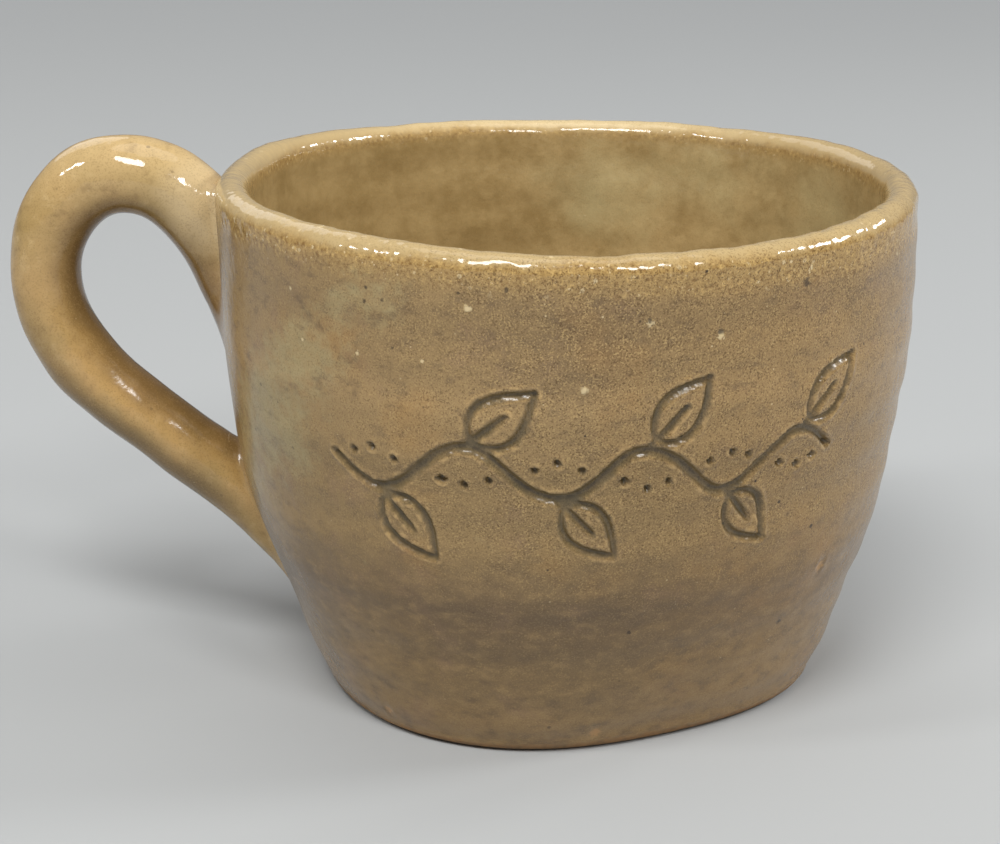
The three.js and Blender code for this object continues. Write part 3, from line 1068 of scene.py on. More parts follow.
@dataclass
class CoilHandle:
    """One rolled coil, bent into a loop that rises over the lip and runs down a straight arm."""

    line: CoilLine
    clay: Clay
    rings: int = 230
    sides: int = 56
    bury: float = 0.8 * MM  # how far its cut ends lie inside the wall
    finger_marks: tuple[Ripple, ...] = (
        Ripple(seed=31, length=15 * MM, depth=0.05 * MM),
        Ripple(seed=32, length=8 * MM, depth=0.04 * MM),
    )
    join_clear: float = 9 * MM  # they die out towards the joins

    def _unevenness(self, points: Array) -> Array:
        """How far the coil's skin stands out of its round form.

        Args:
            points: Points of the skin.

        Returns:
            The height at each.
        """
        share = self.line.nearest_share(points)
        free = smoothstep(self.line.wall.stand_off(self.line.centre(share)), 0, self.join_clear)
        marks = sum(ripple.at(points) for ripple in self.finger_marks)
        return self.clay.unevenness(points) + free * marks

    def build(self, core: bpy.types.Object, material: bpy.types.Material) -> None:
        """Makes the handle.

        Args:
            core: The solid that cuts its ends off inside the wall.
            material: Its glaze.
        """
        shares = np.linspace(0, 1, self.rings)
        obj = MeshTools.line("handle", self.line.centre(shares), self.line.radius(shares), self.sides)
        MeshTools.close(obj)
        MeshTools.raise_skin(obj, self._unevenness(MeshTools.points(obj)))
        cutter = obj.modifiers.new("trim", "BOOLEAN")
        cutter.operation = "DIFFERENCE"
        cutter.solver = "EXACT"
        cutter.object = core
        MeshTools.pick(obj)
        bpy.ops.object.modifier_apply(modifier=cutter.name)
        self.line.mark(obj)
        MeshTools.store(obj, "coil", np.ones(len(obj.data.vertices)))
        MeshTools.finish(obj, Piece.HANDLE, Slot.HANDLE, material)


@dataclass(frozen=True)
class FilletEdge:
    """One edge of the fillet that a join makes between the coil and the wall."""

    points: Array
    pull: Array  # from each point towards the corner, which shapes the fillet
    out: Array  # out of the skin that the edge lies on


@dataclass
class LutedJoin:
    """Soft clay worked round one end of the coil, in a fillet from the coil's skin to the wall."""

    name: str
    piece: Piece
    line: CoilLine
    clay: Clay
    inside_share: float
    outside_share: float
    tail_along: float
    tail_down: float
    tail_turn: float
    collar_along: float = 3 * MM
    collar_down: float = 3 * MM
    tightness: float = 0.72  # 1 draws the fillet right into the corner
    tail_sharpness: float = 2
    sink: float = 0.05 * MM  # of its edges, under the coil's and the wall's skin
    sink_share: float = 0.2  # of the way across, over which each edge sinks
    bury: float = 0.7 * MM
    lean_share: float = 0.5  # of the rim's lean, at the height of the joins
    skin_step: float = 0.1 * MM  # along the coil's skin, for its direction
    wall_step: float = 0.02  # of the way to the corner, for the wall's direction
    coil_share: Span = (0.1, 0.9)  # of the way across, where the coil's glaze ends
    turns: int = 128
    fillet_steps: int = 22
    back_steps: int = 3
    search_steps: int = 40

    def _corners(self, turn: Array) -> Array:
        """Finds where each line of the coil's skin meets the wall.

        Args:
            turn: Angles round the coil.

        Returns:
            The share of the coil's length at each corner.
        """
        low = np.full(len(turn), self.inside_share)
        high = np.full(len(turn), self.outside_share)
        for _ in range(self.search_steps):
            middle = (low + high) / 2
            inside = self.line.wall.stand_off(self.line.on_skin(middle, turn)) < 0
            low = np.where(inside, middle, low)
            high = np.where(inside, high, middle)
        return high

    def _coil_edge(self, turn: Array, corner_share: Array, along: Array) -> FilletEdge:
        """The edge on the coil.

        Args:
            turn: Angles round the coil.
            corner_share: Where the coil's skin meets the wall.
            along: How far the clay runs along the coil.

        Returns:
            The edge.
        """
        line = self.line
        to_loop = math.copysign(1 / line.length, self.outside_share - self.inside_share)
        share = corner_share + to_loop * along
        points = line.on_skin(share, turn)
        towards = line.on_skin(share - to_loop * self.skin_step, turn) - points
        pull = unit(towards) * (along * self.tightness)[:, None]
        return FilletEdge(points, pull, unit(points - line.centre(share)))

    def _wall_edge(self, corner: Array, middle: Array, down: Array) -> FilletEdge:
        """The edge on the wall.

        Args:
            corner: Points where the coil's skin meets the wall.
            middle: The middle of the coil there.
            down: How far the clay runs over the wall.

        Returns:
            The edge.
        """
        wall = self.line.wall
        away = corner - middle
        level = corner[:, :2] - np.array(wall.rim_lean) * self.lean_share
        facing = np.arctan2(level[:, 1], level[:, 0])
        across = away[:, 1] * np.cos(facing) - away[:, 0] * np.sin(facing)
        heading = unit(np.stack([across, away[:, 2]], axis=1))
        corner_angle, corner_height = wall.turned_place(corner)
        angle = corner_angle + heading[:, 0] * down / wall.radius(corner_height)
        crest = wall.cup_height - wall.lip_thickness / 2
        height = np.minimum(corner_height + heading[:, 1] * down, crest)
        points = wall.on_wall(angle, height)
        back_angle = blend(angle, corner_angle, self.wall_step)
        back_height = blend(height, corner_height, self.wall_step)
        pull = unit(wall.on_wall(back_angle, back_height) - points) * (down * self.tightness)[:, None]
        return FilletEdge(points, pull, np.stack([np.cos(angle), np.sin(angle), angle * 0], axis=1))

    def _fillet(self, start: FilletEdge, end: FilletEdge, share: Array) -> Array:
        """The join's outer face.

        Args:
            start: Its edge on the coil.
            end: Its edge on the wall.
            share: Shares of the way across.

        Returns:
            Its points, a row for each line of the coil's skin.
        """
        held_start, held_end = start.points + start.pull, end.points + end.pull
        corners = [points[:, None] for points in (start.points, held_start, held_end, end.points)]
        face = cubic(*corners, share[None, :, None])
        near_coil = (1 - smoothstep(share, 0, self.sink_share))[None, :, None]
        near_wall = smoothstep(share, 1 - self.sink_share, 1)[None, :, None]
        return face - self.sink * (near_coil * start.out[:, None] + near_wall * end.out[:, None])

    def _rings(self) -> tuple[Array, Array]:
        """Lays out the join's points, a row for each line of the coil's skin.

        Returns:
            The points, and their share of the way from the coil to the wall.
        """
        turn = np.linspace(0, TURN, self.turns, endpoint=False)
        corner_share = self._corners(turn)
        corner = self.line.on_skin(corner_share, turn)
        middle = self.line.centre(corner_share[[np.argmin(np.abs(np.cos(turn - self.tail_turn)))]])
        lobe = np.maximum(0, np.cos(turn - self.tail_turn)) ** self.tail_sharpness
        start = self._coil_edge(turn, corner_share, self.collar_along + self.tail_along * lobe)
        end = self._wall_edge(corner, middle, self.collar_down + self.tail_down * lobe)
        share = np.linspace(0, 1, self.fillet_steps)
        face = self._fillet(start, end, share)

        coil_out = unit(corner - self.line.centre(corner_share))
        deep_start = start.points - self.bury * start.out
        deep_corner = corner - self.bury * unit(coil_out + end.out)
        deep_end = end.points - self.bury * end.out
        steps = self.back_steps
        back = [blend(deep_end, deep_corner, step / steps) for step in range(steps)]
        back += [blend(deep_corner, deep_start, step / (steps - 1)) for step in range(steps)]
        points = np.concatenate([face, np.stack(back, axis=1)], axis=1)
        shares = np.r_[share, np.linspace(1, 0, 2 * steps)]
        return points, np.broadcast_to(shares, points.shape[:2])

    def build(self, material: bpy.types.Material) -> None:
        """Makes the join.

        Args:
            material: Its glaze.
        """
        rings, shares = self._rings()
        bpy.ops.object.select_all(action="DESELECT")
        bpy.ops.mesh.primitive_torus_add(major_segments=self.turns, minor_segments=rings.shape[1])
        obj = bpy.context.active_object
        obj.name = self.name
        obj.data.name = self.name
        MeshTools.move(obj, rings.reshape(-1, 3))
        with MeshTools.editing(obj):
            bpy.ops.mesh.normals_make_consistent(inside=False)
        MeshTools.raise_skin(obj, self.clay.unevenness(MeshTools.points(obj)))
        MeshTools.store(obj, "coil", 1 - smoothstep(shares.reshape(-1), *self.coil_share))
        self.line.mark(obj)
        MeshTools.finish(obj, self.piece, Slot.JOIN, material)


def srgb(red: float, green: float, blue: float) -> Colour:
    """A colour of 0 to 255 as the shares of light that a shader takes."""
    shares = [value / 255 for value in (red, green, blue)]
    return tuple(s / 12.92 if s <= 0.04045 else ((s + 0.055) / 1.055) ** 2.4 for s in shares)


class Value:
    """A shader socket that Python's operators work on, each adding its Math node."""

    def __init__(self, graph: "ShaderGraph", socket: bpy.types.NodeSocket) -> None:
        """Wraps a socket of a graph."""
        self.graph = graph
        self.socket = socket

    def _math(self, operation: str, *values: Any) -> "Value":
        """A Math node on values."""
        return self.graph.add("ShaderNodeMath", {"operation": operation}, dict(enumerate(values)))

    def __add__(self, other: Any) -> "Value":
        """This value plus another."""
        return self._math("ADD", self, other)

    __radd__ = __add__

    def __sub__(self, other: Any) -> "Value":
        """This value minus another."""
        return self._math("SUBTRACT", self, other)

    def __rsub__(self, other: Any) -> "Value":
        """Another value minus this one."""
        return self._math("SUBTRACT", other, self)

    def __mul__(self, other: Any) -> "Value":
        """This value times another."""
        return self._math("MULTIPLY", self, other)

    __rmul__ = __mul__

    def __truediv__(self, other: Any) -> "Value":
        """This value over another."""
        return self._math("DIVIDE", self, other)

    def __rtruediv__(self, other: Any) -> "Value":
        """Another value over this one."""
        return self._math("DIVIDE", other, self)

    def least(self, other: Any) -> "Value":
        """The lesser of this value and another."""
        return self._math("MINIMUM", self, other)

    def most(self, other: Any) -> "Value":
        """The greater of this value and another."""
        return self._math("MAXIMUM", self, other)

    def rise(self, low: float, high: float, bottom: float = 0, top: float = 1) -> "Value":
        """A smooth step over a span of this value.

        Args:
            low: Where it is at the bottom, which may lie over high.
            high: Where it is at the top.
            bottom: What it is at low.
            top: What it is at high.

        Returns:
            The step.
        """
        span = {"From Min": low, "From Max": high, "To Min": bottom, "To Max": top}
        settings = {"interpolation_type": "SMOOTHSTEP"}
        return self.graph.add("ShaderNodeMapRange", settings, {"Value": self, **span})


class ShaderGraph:
    """The node tree of one material, with its Principled shader."""

    def __init__(self, name: str) -> None:
        """Makes an empty material of that name."""
        self.material = bpy.data.materials.new(name)
        self.material.use_nodes = True
        self.tree = self.material.node_tree
        self.tree.nodes.clear()
        self.output = self.tree.nodes.new("ShaderNodeOutputMaterial")
        self.shader = self.tree.nodes.new("ShaderNodeBsdfPrincipled")
        self.tree.links.new(self.shader.outputs["BSDF"], self.output.inputs["Surface"])
        self.made: dict["Source", Value] = {}
        place = self.add("ShaderNodeTexCoord", output="Object")
        self.place = self.add("ShaderNodeVectorMath", {"operation": "SCALE"}, {0: place, "Scale": 1 / MM})

    def add(
        self,
        kind: str,
        settings: dict[str, Any] | None = None,
        inputs: dict[str | int, Any] | None = None,
        output: str | int = 0,
    ) -> Value:
        """Adds one node.

        Args:
            kind: The node's type.
            settings: Its settings, or a ramp's stops under "stops", which are set first.
            inputs: The values or links of its sockets.
            output: Which output is wanted.

        Returns:
            That output.
        """
        node = self.tree.nodes.new(kind)
        for name, value in (settings or {}).items():
            if name == "stops":
                self._set_stops(node.color_ramp, value)
            else:
                setattr(node, name, value)
        for name, value in (inputs or {}).items():
            self.feed(node.inputs[name], value)
        return Value(self, node.outputs[output])

    @staticmethod
    def _set_stops(ramp: bpy.types.ColorRamp, stops: tuple[tuple[float, Colour], ...]) -> None:
        """Gives a ramp its stops.

        Args:
            ramp: A new ramp.
            stops: The place and colour of each.
        """
        while len(ramp.elements) < len(stops):
            ramp.elements.new(1)
        for element, (place, colour) in zip(ramp.elements, stops):
            element.position = place
            element.color = (*colour, 1)

    def feed(self, socket: bpy.types.NodeSocket, value: Any) -> None:
        """Links a value to a socket, or sets the socket to it.

        Args:
            socket: The socket.
            value: Another node's output, or a constant.
        """
        if isinstance(value, Value):
            self.tree.links.new(value.socket, socket)
        elif isinstance(value, tuple) and socket.type == "RGBA":
            socket.default_value = (*value, 1)
        else:
            socket.default_value = value

    def set(self, name: str, value: Any) -> None:
        """Sets or feeds one socket of the shader."""
        self.feed(self.shader.inputs[name], value)

    def value(self, source: "Source") -> Value:
        """A source's output.

        Args:
            source: The source, whose nodes are made once and then used again.

        Returns:
            Its output.
        """
        if source not in self.made:
            self.made[source] = source.build(self)
        return self.made[source]

    def total(self, sources: "Sources") -> Value:
        """What sources add up to."""
        first, *others = [self.value(source) for source in sources]
        return sum(others, first)

    def product(self, sources: "Sources") -> Value:
        """Sources multiplied together."""
        first, *others = [self.value(source) for source in sources]
        return math.prod(others, start=first)

    def shifted(self, shift: Triple, stretch: Triple = (1, 1, 1)) -> Value:
        """The place moved and then stretched.

        Args:
            shift: How far it is moved along each axis, in millimetres.
            stretch: What each axis is multiplied by.

        Returns:
            The place.
        """
        moved = self.add("ShaderNodeVectorMath", {"operation": "ADD"}, {0: self.place, 1: shift})
        if stretch == (1, 1, 1):
            return moved
        return self.add("ShaderNodeVectorMath", {"operation": "MULTIPLY"}, {0: moved, 1: stretch})

    def mix(self, share: Value, start: Value | Colour, end: Value | Colour) -> Value:
        """A colour that lies a share of the way between two."""
        return self.add("ShaderNodeMix", {"data_type": "RGBA"}, {0: share, 6: start, 7: end}, 2)

    def seen_by_camera(self) -> Value:
        """1 for what the camera sees straight, and 0 for light that travels on."""
        return self.add("ShaderNodeLightPath", output="Is Camera Ray")

    def lay_over(self, share: Value, colour: Colour) -> None:
        """Lays an even, self-lit colour over the surface.

        Args:
            share: How much of the surface it hides.
            colour: The colour.
        """
        glow = self.add("ShaderNodeEmission", inputs={"Color": colour})
        mixed = self.add("ShaderNodeMixShader", inputs={0: share, 2: glow})
        self.tree.links.new(self.shader.outputs["BSDF"], mixed.socket.node.inputs[1])
        self.tree.links.new(mixed.socket, self.output.inputs["Surface"])

    def bump(self, height: Value) -> None:
        """Roughens the surface by a height in millimetres."""
        self.set("Normal", self.add("ShaderNodeBump", inputs={"Distance": MM, "Height": height}))


class Source(ABC):
    """Something that varies over the glaze."""

    @abstractmethod
    def build(self, graph: ShaderGraph) -> Value:
        """Adds its nodes and gives their output."""


Sources = tuple[Source, ...]


@dataclass(frozen=True)
class Axis(Source):
    """One coordinate of the place, in millimetres."""

    name: str
    offset: float = 0

    def build(self, graph: ShaderGraph) -> Value:
        """Adds its nodes and gives their output."""
        place = graph.add("ShaderNodeSeparateXYZ", inputs={0: graph.place}, output=self.name)
        return place + self.offset if self.offset else place


@dataclass(frozen=True)
class Kept(Source):
    """A number that the piece keeps at its vertices."""

    name: str

    def build(self, graph: ShaderGraph) -> Value:
        """Adds its nodes and gives their output."""
        return graph.add("ShaderNodeAttribute", {"attribute_name": self.name}, output="Fac")


@dataclass(frozen=True)
class Grain(Source):
    """Smooth noise about 0, mostly within half its share."""

    size: float  # of its blotches, in millimetres
    shift: float = 0  # moves it, so that two noises of one size differ
    detail: float = 2  # how many finer layers it has
    share: float = 1
    stretch: Triple = (1, 1, 1)
    roughness: float = 0.55  # of each finer layer, against the one before it

    def build(self, graph: ShaderGraph) -> Value:
        """Adds its nodes to a graph.

        Args:
            graph: The graph.

        Returns:
            Their output.
        """
        shift = (self.shift, self.shift * 0.7, -self.shift)  # along no axis or diagonal
        vector = graph.shifted(shift, self.stretch)
        layers = {"Detail": self.detail, "Roughness": self.roughness}
        noise = graph.add("ShaderNodeTexNoise", inputs={"Vector": vector, "Scale": 1 / self.size, **layers})
        centred = noise - 0.5
        return centred if self.share == 1 else centred * self.share


@dataclass(frozen=True)
class Specks(Source):
    """Round specks, 1 inside and 0 outside."""

    spacing: float  # size of the cells that hold one speck each, in millimetres
    radius: float  # of the largest specks
    share: float  # of the cells that have a speck
    shift: float
    soft: float = 0.35  # of the largest radius, over which a speck dies out

    def build(self, graph: ShaderGraph) -> Value:
        """Adds its nodes to a graph.

        Args:
            graph: The graph.

        Returns:
            Their output.
        """
        settings = {"feature": "F1"}
        vector = graph.shifted((self.shift, -self.shift, self.shift * 0.6))
        inputs = {"Vector": vector, "Scale": 1 / self.spacing}
        gap = graph.add("ShaderNodeTexVoronoi", settings, inputs, "Distance")
        draw = graph.add("ShaderNodeTexVoronoi", settings, inputs, "Color")
        chance = graph.add("ShaderNodeSeparateColor", inputs={0: draw}, output="Red")
        size = (chance - (1 - self.share)).most(0) / self.share
        largest = self.radius / self.spacing
        return ((size * largest - gap) / (self.soft * largest)).most(0).least(1)


@dataclass(frozen=True)
class Cracks(Source):
    """The distance from a net of cracks, as a share of its cells."""

    size: float  # of its cells, in millimetres
    shift: Triple
    stretch: Triple

    def build(self, graph: ShaderGraph) -> Value:
        """Adds its nodes and gives their output."""
        inputs = {"Vector": graph.shifted(self.shift, self.stretch), "Scale": 1 / self.size}
        return graph.add("ShaderNodeTexVoronoi", {"feature": "DISTANCE_TO_EDGE"}, inputs, "Distance")


@dataclass(frozen=True)
class Patch(Source):
    """A round patch, as strong as its share at its middle."""

    centre: Triple  # in millimetres
    radius: float  # where it has died out
    share: float = 1
    soft: float = 1  # the share of the radius over which it dies out

    def build(self, graph: ShaderGraph) -> Value:
        """Adds its nodes and gives their output."""
        inputs = {0: graph.place, 1: self.centre}
        gap = graph.add("ShaderNodeVectorMath", {"operation": "DISTANCE"}, inputs, "Value")
        return gap.rise(self.radius, self.radius * (1 - self.soft), top=self.share)


@dataclass(frozen=True)
class Sum(Source):
    """What other sources add up to."""

    sources: Sources

    def build(self, graph: ShaderGraph) -> Value:
        """Adds its nodes and gives their output."""
        return graph.total(self.sources)


@dataclass(frozen=True)
class Step(Source):
    """A smooth step from bottom to top, over a span of what its sources add up to."""

    low: float
    high: float
    sources: Sources
    bottom: float
    top: float

    def build(self, graph: ShaderGraph) -> Value:
        """Adds its nodes and gives their output."""
        return graph.total(self.sources).rise(self.low, self.high, self.bottom, self.top)


@dataclass(frozen=True)
class Stripe(Source):
    """1 along the line where its sources add up to nothing."""

    full: float  # how far from the line it still shows fully
    gone: float  # and where it has died out
    sources: Sources

    def build(self, graph: ShaderGraph) -> Value:
        """Adds its nodes and gives their output."""
        total = graph.total(self.sources)
        return (total * total).rise(self.gone**2, self.full**2)


@dataclass(frozen=True)
class Less(Source):
    """1, less a share of another source."""

    source: Source
    share: float

    def build(self, graph: ShaderGraph) -> Value:
        """Adds its nodes and gives their output."""
        return 1 - graph.value(self.source) * self.share


@dataclass(frozen=True)
class Held(Source):
    """Masks multiplied together and by a gain, and held to 1."""

    gain: float
    masks: Sources

    def build(self, graph: ShaderGraph) -> Value:
        """Adds its nodes and gives their output."""
        return (graph.product(self.masks) * self.gain).least(1)


@dataclass(frozen=True)
class Bands(Source):
    """Colours that follow each other up the cup."""

    top: float  # the height at which the stops reach 1, in millimetres
    stops: tuple[tuple[float, Colour], ...]
    height: Sources

    def build(self, graph: ShaderGraph) -> Value:
        """Adds its nodes and gives their output."""
        level = graph.total(self.height) / self.top
        return graph.add("ShaderNodeValToRGB", {"stops": self.stops}, {"Fac": level})


@dataclass(frozen=True)
class Wash:
    """A colour laid over what is below it, where all its masks let it show."""

    paint: Source | Colour
    strength: float
    masks: Sources

    def over(self, below: Value | Colour, graph: ShaderGraph) -> Value:
        """Lays the wash over a colour.

        Args:
            below: The colour.
            graph: The graph that takes the nodes.

        Returns:
            The colour with the wash over it.
        """
        share = graph.product(self.masks)
        paint = graph.value(self.paint) if isinstance(self.paint, Source) else self.paint
        return graph.mix(share if self.strength == 1 else share * self.strength, below, paint)


Washes = tuple[Wash, ...]


@dataclass(frozen=True)
class Coat(Source):
    """A ground colour with washes over it."""

    ground: Source | Colour
    washes: Washes

    def build(self, graph: ShaderGraph) -> Value:
        """Adds its nodes to a graph.

        Args:
            graph: The graph.

        Returns:
            Their output.
        """
        colour = graph.value(self.ground) if isinstance(self.ground, Source) else self.ground
        for laid in self.washes:
            colour = laid.over(colour, graph)
        return colour


def step(low: float, high: float, *sources: Source, bottom: float = 0, top: float = 1) -> Step:
    """A smooth step from bottom to top, over a span of what the sources add up to."""
    return Step(low, high, sources, bottom, top)


def wash(paint: Source | Colour, strength: float, *masks: Source) -> Wash:
    """A colour laid at a strength where all the masks let it show."""
    return Wash(paint, strength, masks)


@dataclass(frozen=True)
class Stoneware:
    """Colours of the glaze over iron-bearing stoneware, and of the bare clay, with a few colours of painted
    shade and highlight.
    """

    foot_clay: Colour = srgb(156, 116, 72)
    foot_wall: Colour = srgb(146, 118, 78)
    low_wall: Colour = srgb(128, 104, 69)
    dark_band: Colour = srgb(110, 89, 63)
    middle_wall: Colour = srgb(145, 119, 78)
    light_band: Colour = srgb(162, 133, 89)
    upper_wall: Colour = srgb(145, 119, 79)
    under_lip: Colour = srgb(174, 141, 86)
    lip: Colour = srgb(190, 166, 120)
    lip_gold: Colour = srgb(214, 178, 112)
    lip_rust: Colour = srgb(112, 76, 34)
    mottle_dark: Colour = srgb(104, 84, 60)
    mauve: Colour = srgb(136, 108, 84)
    green_grey: Colour = srgb(170, 156, 112)
    orange: Colour = srgb(180, 132, 66)
    inside: Colour = srgb(177, 151, 103)
    inside_dark: Colour = srgb(147, 122, 77)
    inside_green: Colour = srgb(194, 180, 134)
    coil_top: Colour = srgb(213, 184, 133)
    coil_gold: Colour = srgb(192, 156, 102)
    coil_olive: Colour = srgb(168, 140, 88)
    arm_gold: Colour = srgb(206, 160, 94)
    # dark flecks of the coil's glaze, and painted shade on the loop's inner side
    coil_dark_and_shade: Colour = srgb(108, 80, 44)
    coil_shade: Colour = srgb(124, 102, 68)
    iron: Colour = srgb(48, 34, 24)
    rust: Colour = srgb(88, 62, 30)
    sand: Colour = srgb(192, 162, 108)
    cream: Colour = srgb(228, 206, 160)
    lilac: Colour = srgb(166, 152, 138)
    # painted highlight: the pale glow of the lamps on the coil by the upper join
    painted_highlight: Colour = srgb(210, 187, 146)
    crease: Colour = srgb(122, 92, 56)
    wiped: Colour = srgb(156, 120, 70)
    chipped: Colour = srgb(188, 144, 92)
    groove: Colour = srgb(88, 78, 56)
    groove_deep: Colour = srgb(58, 46, 32)
    groove_edge: Colour = srgb(200, 166, 112)


X = Axis("X")
Y = Axis("Y")
Z = Axis("Z")
INSIDE = Kept("inside")
COIL = Kept("coil")
INNER_SIDE = Kept("inner_side")
DOWN_COIL = Kept("down_coil")
BARE = step(1.7, 0.8, Z, Grain(3, shift=88, detail=3, share=1.3))  # the foot's thin line of bare clay


def blotch(share: float) -> Grain:
    """The middling noise that many of the washes share."""
    return Grain(11, detail=3, share=share)


def wide(share: float) -> Grain:
    """The broad noise that many of the washes share."""
    return Grain(26, shift=40, share=share)


@dataclass(frozen=True)
class Glazing:
    """The washes of the speckled glaze, which follow places on the cup and so run on over its pieces; a few
    of them are painted shade and highlights.
    """

    ware: Stoneware = Stoneware()

    def wheel_bands(self) -> Bands:
        """The ground of the outside wall: soft bands from the wheel.

        Returns:
            The bands.
        """
        ware = self.ware
        stops = (
            (0.00, ware.foot_wall),
            (0.05, ware.foot_wall),
            (0.16, ware.low_wall),
            (0.31, ware.dark_band),
            (0.45, ware.middle_wall),
            (0.58, ware.middle_wall),
            (0.71, ware.light_band),
            (0.81, ware.upper_wall),
            (0.89, ware.upper_wall),
            (0.95, ware.under_lip),
        )
        return Bands(72, stops, (Z, blotch(3.5), wide(5)))

    def wall(self) -> Washes:
        """The wall's mottling and patches, and where it was wiped round the handle.

        Returns:
            The washes, from the lowest up.
        """
        ware = self.ware
        green = (
            Patch((-31, -35, 55), 12),
            Patch((-37, -28, 46), 13),
            Patch((-42, -18, 36), 16),
            Patch((-24, -41, 63), 10, share=0.8),
            Patch((-32, -31, 41), 10, share=0.6),
            Grain(4.5, shift=57, detail=5, share=1.8),
            Grain(1.3, shift=37, detail=3, share=1.2),
        )
        light = (
            Patch((-22, -27, 18), 15),
            Patch((25, -18, 10), 13),
            Patch((-38, -24, 62), 12),
            Patch((-38, -22, 30), 12),
        )
        mottle = Grain(2.6, shift=91, detail=4, stretch=(1, 1, 1.7))
        darker = Sum((step(34, 18, Z, top=0.2), step(44, 56, Z, bottom=0.42, top=0.57)))
        lighter = Sum((step(34, 18, Z, top=0.16), step(44, 56, Z, bottom=0.3, top=0.42)))
        by_handle = step(-30, -38, X)
        wiped = Stripe(6, 15, (Y, Grain(5, shift=63, detail=4, share=9)))
        line = Stripe(0.6, 2.4, (Axis("Y", offset=14), Grain(7, shift=19, detail=3, share=3)))
        return (
            wash(ware.mauve, 0.4, step(0.02, 0.22, Grain(7, shift=9, detail=4))),
            wash(ware.orange, 0.35, step(0.06, 0.26, Grain(17, shift=23, detail=3))),
            wash(ware.green_grey, 0.62, step(0.3, 1.15, *green)),
            wash(ware.dark_band, 0.4, Patch((2, -45, 60), 16)),
            wash(ware.light_band, 0.25, Patch((29, -33, 57), 11)),
            wash(ware.light_band, 0.4, Sum(light)),
            wash(ware.wiped, 0.3, step(0, 26, X)),
            wash(ware.mottle_dark, 1, step(-0.02, 0.24, mottle), darker),
            wash(ware.light_band, 1, step(0.02, -0.24, mottle), lighter),
            wash(ware.wiped, 0.55, by_handle, wiped),
            wash(ware.crease, 0.6, line, by_handle, step(26, 38, Z)),
        )

    def lip(self) -> Washes:
        """The ochre lip and its ragged, crumbly lower edge, with a paler far crest and cream crumbs that
        are partly painted highlights.

        Returns:
            The washes, from the lowest up.
        """
        ware = self.ware
        height = (Z, blotch(2.2), Grain(2.2, shift=5, share=1.4))
        lower = (*height, step(-30, 25, X, bottom=-1.2, top=0.4))
        band = (step(63.4, 66.2, *lower), step(69.6, 68.2, *height))
        rusty = Grain(0.55, shift=83, detail=3)
        flakes = step(0.13, 0.2, Grain(0.8, shift=47, detail=3))
        crumbs = Specks(1.3, 0.36, share=0.5, shift=23)
        return (
            wash(ware.under_lip, 0.85, step(64.4, 67.2, *lower)),
            wash(ware.lip_rust, 0.6, *band, step(0, 0.18, rusty)),
            wash(ware.lip_gold, 0.65, *band, step(-0.03, -0.18, rusty)),
            wash(ware.cream, 0.8, *band, flakes),
            wash(ware.lip, 0.9, step(67.9, 69.6, *height)),
            # a paler crest on the far rim: partly a paler glaze, partly a painted highlight
            wash(ware.cream, 0.65, Patch((-3, 44, 70), 40, soft=0.8), step(67.6, 69.4, *height)),
            # cream crumbs along the front of the crest, partly painted glints
            wash(ware.cream, 0.6, crumbs, step(65, 67, *height), step(20, -5, Y)),
        )

    def inside(self) -> Washes:
        """The olive-tan inside.

        Returns:
            The one wash of it, which has washes of its own.
        """
        ware = self.ware
        green = (
            Patch((4, 43, 58), 16, share=0.9),
            Patch((20, 40, 64), 15, share=0.9),
            Patch((38, 22, 58), 24, share=0.8),
            Grain(6, shift=71, detail=6, share=1.2),
        )
        shade = (Grain(6, shift=61, detail=5), Grain(1.6, shift=69, detail=3, share=0.5))
        tone = Coat(
            ware.inside_dark,
            (
                wash(ware.inside, 1, step(-0.28, 0.26, *shade)),
                wash(ware.inside_dark, 0.3, step(5, -30, X)),
                wash(ware.inside_green, 0.55, step(0.1, 1.1, *green)),
            ),
        )
        return (wash(tone, 1, INSIDE, step(69.2, 66.4, Z)),)

    def _gold(self) -> Washes:
        """The coil's golden glaze over its olive ground, with painted shade on the loop's inner side and
        under the arm, and a painted highlight by the upper join.

        Returns:
            The washes, from the lowest up.
        """
        ware = self.ware
        flecks = Grain(1.8, shift=29, detail=4)
        ragged = (INNER_SIDE, blotch(0.5), Grain(4, shift=33, detail=3, share=0.4))
        painted_shade_inner_side = (INNER_SIDE, blotch(0.25), Grain(4, shift=33, detail=3, share=0.2))
        under = (step(0.6, 0.25, INNER_SIDE), step(0.42, 0.66, DOWN_COIL), step(0.9, 0.78, DOWN_COIL))
        side = (step(0.35, 0.7, *ragged), step(1.02, 0.72, *ragged))
        arm = (step(0.42, 0.56, DOWN_COIL), step(0.98, 0.84, DOWN_COIL))
        return (
            wash(ware.coil_gold, 1, step(-0.2, 0.25, wide(1), blotch(0.6))),
            wash(ware.coil_top, 0.6, step(62, 74, Z)),
            wash(ware.coil_dark_and_shade, 0.3, step(0.02, 0.24, flecks)),
            wash(ware.coil_top, 0.35, step(-0.02, -0.24, flecks)),
            # painted shade on the underside of the arm
            wash(ware.coil_shade, 0.9, *under),
            wash(ware.arm_gold, 0.35, *side, *arm),
            # painted shade on the inner side of the loop
            wash(ware.coil_dark_and_shade, 0.8, step(0.6, 0.98, *painted_shade_inner_side)),
            # painted shade on the underside of the coil just above the upper join
            wash(ware.coil_dark_and_shade, 0.5, step(0.35, 0.75, INNER_SIDE), step(0.28, 0.12, DOWN_COIL)),
            # painted highlight: a pale patch on the coil just above the upper join
            wash(ware.painted_highlight, 0.6, step(0.1, 0.7, Patch((-48, -4, 66), 12), blotch(0.6))),
        )

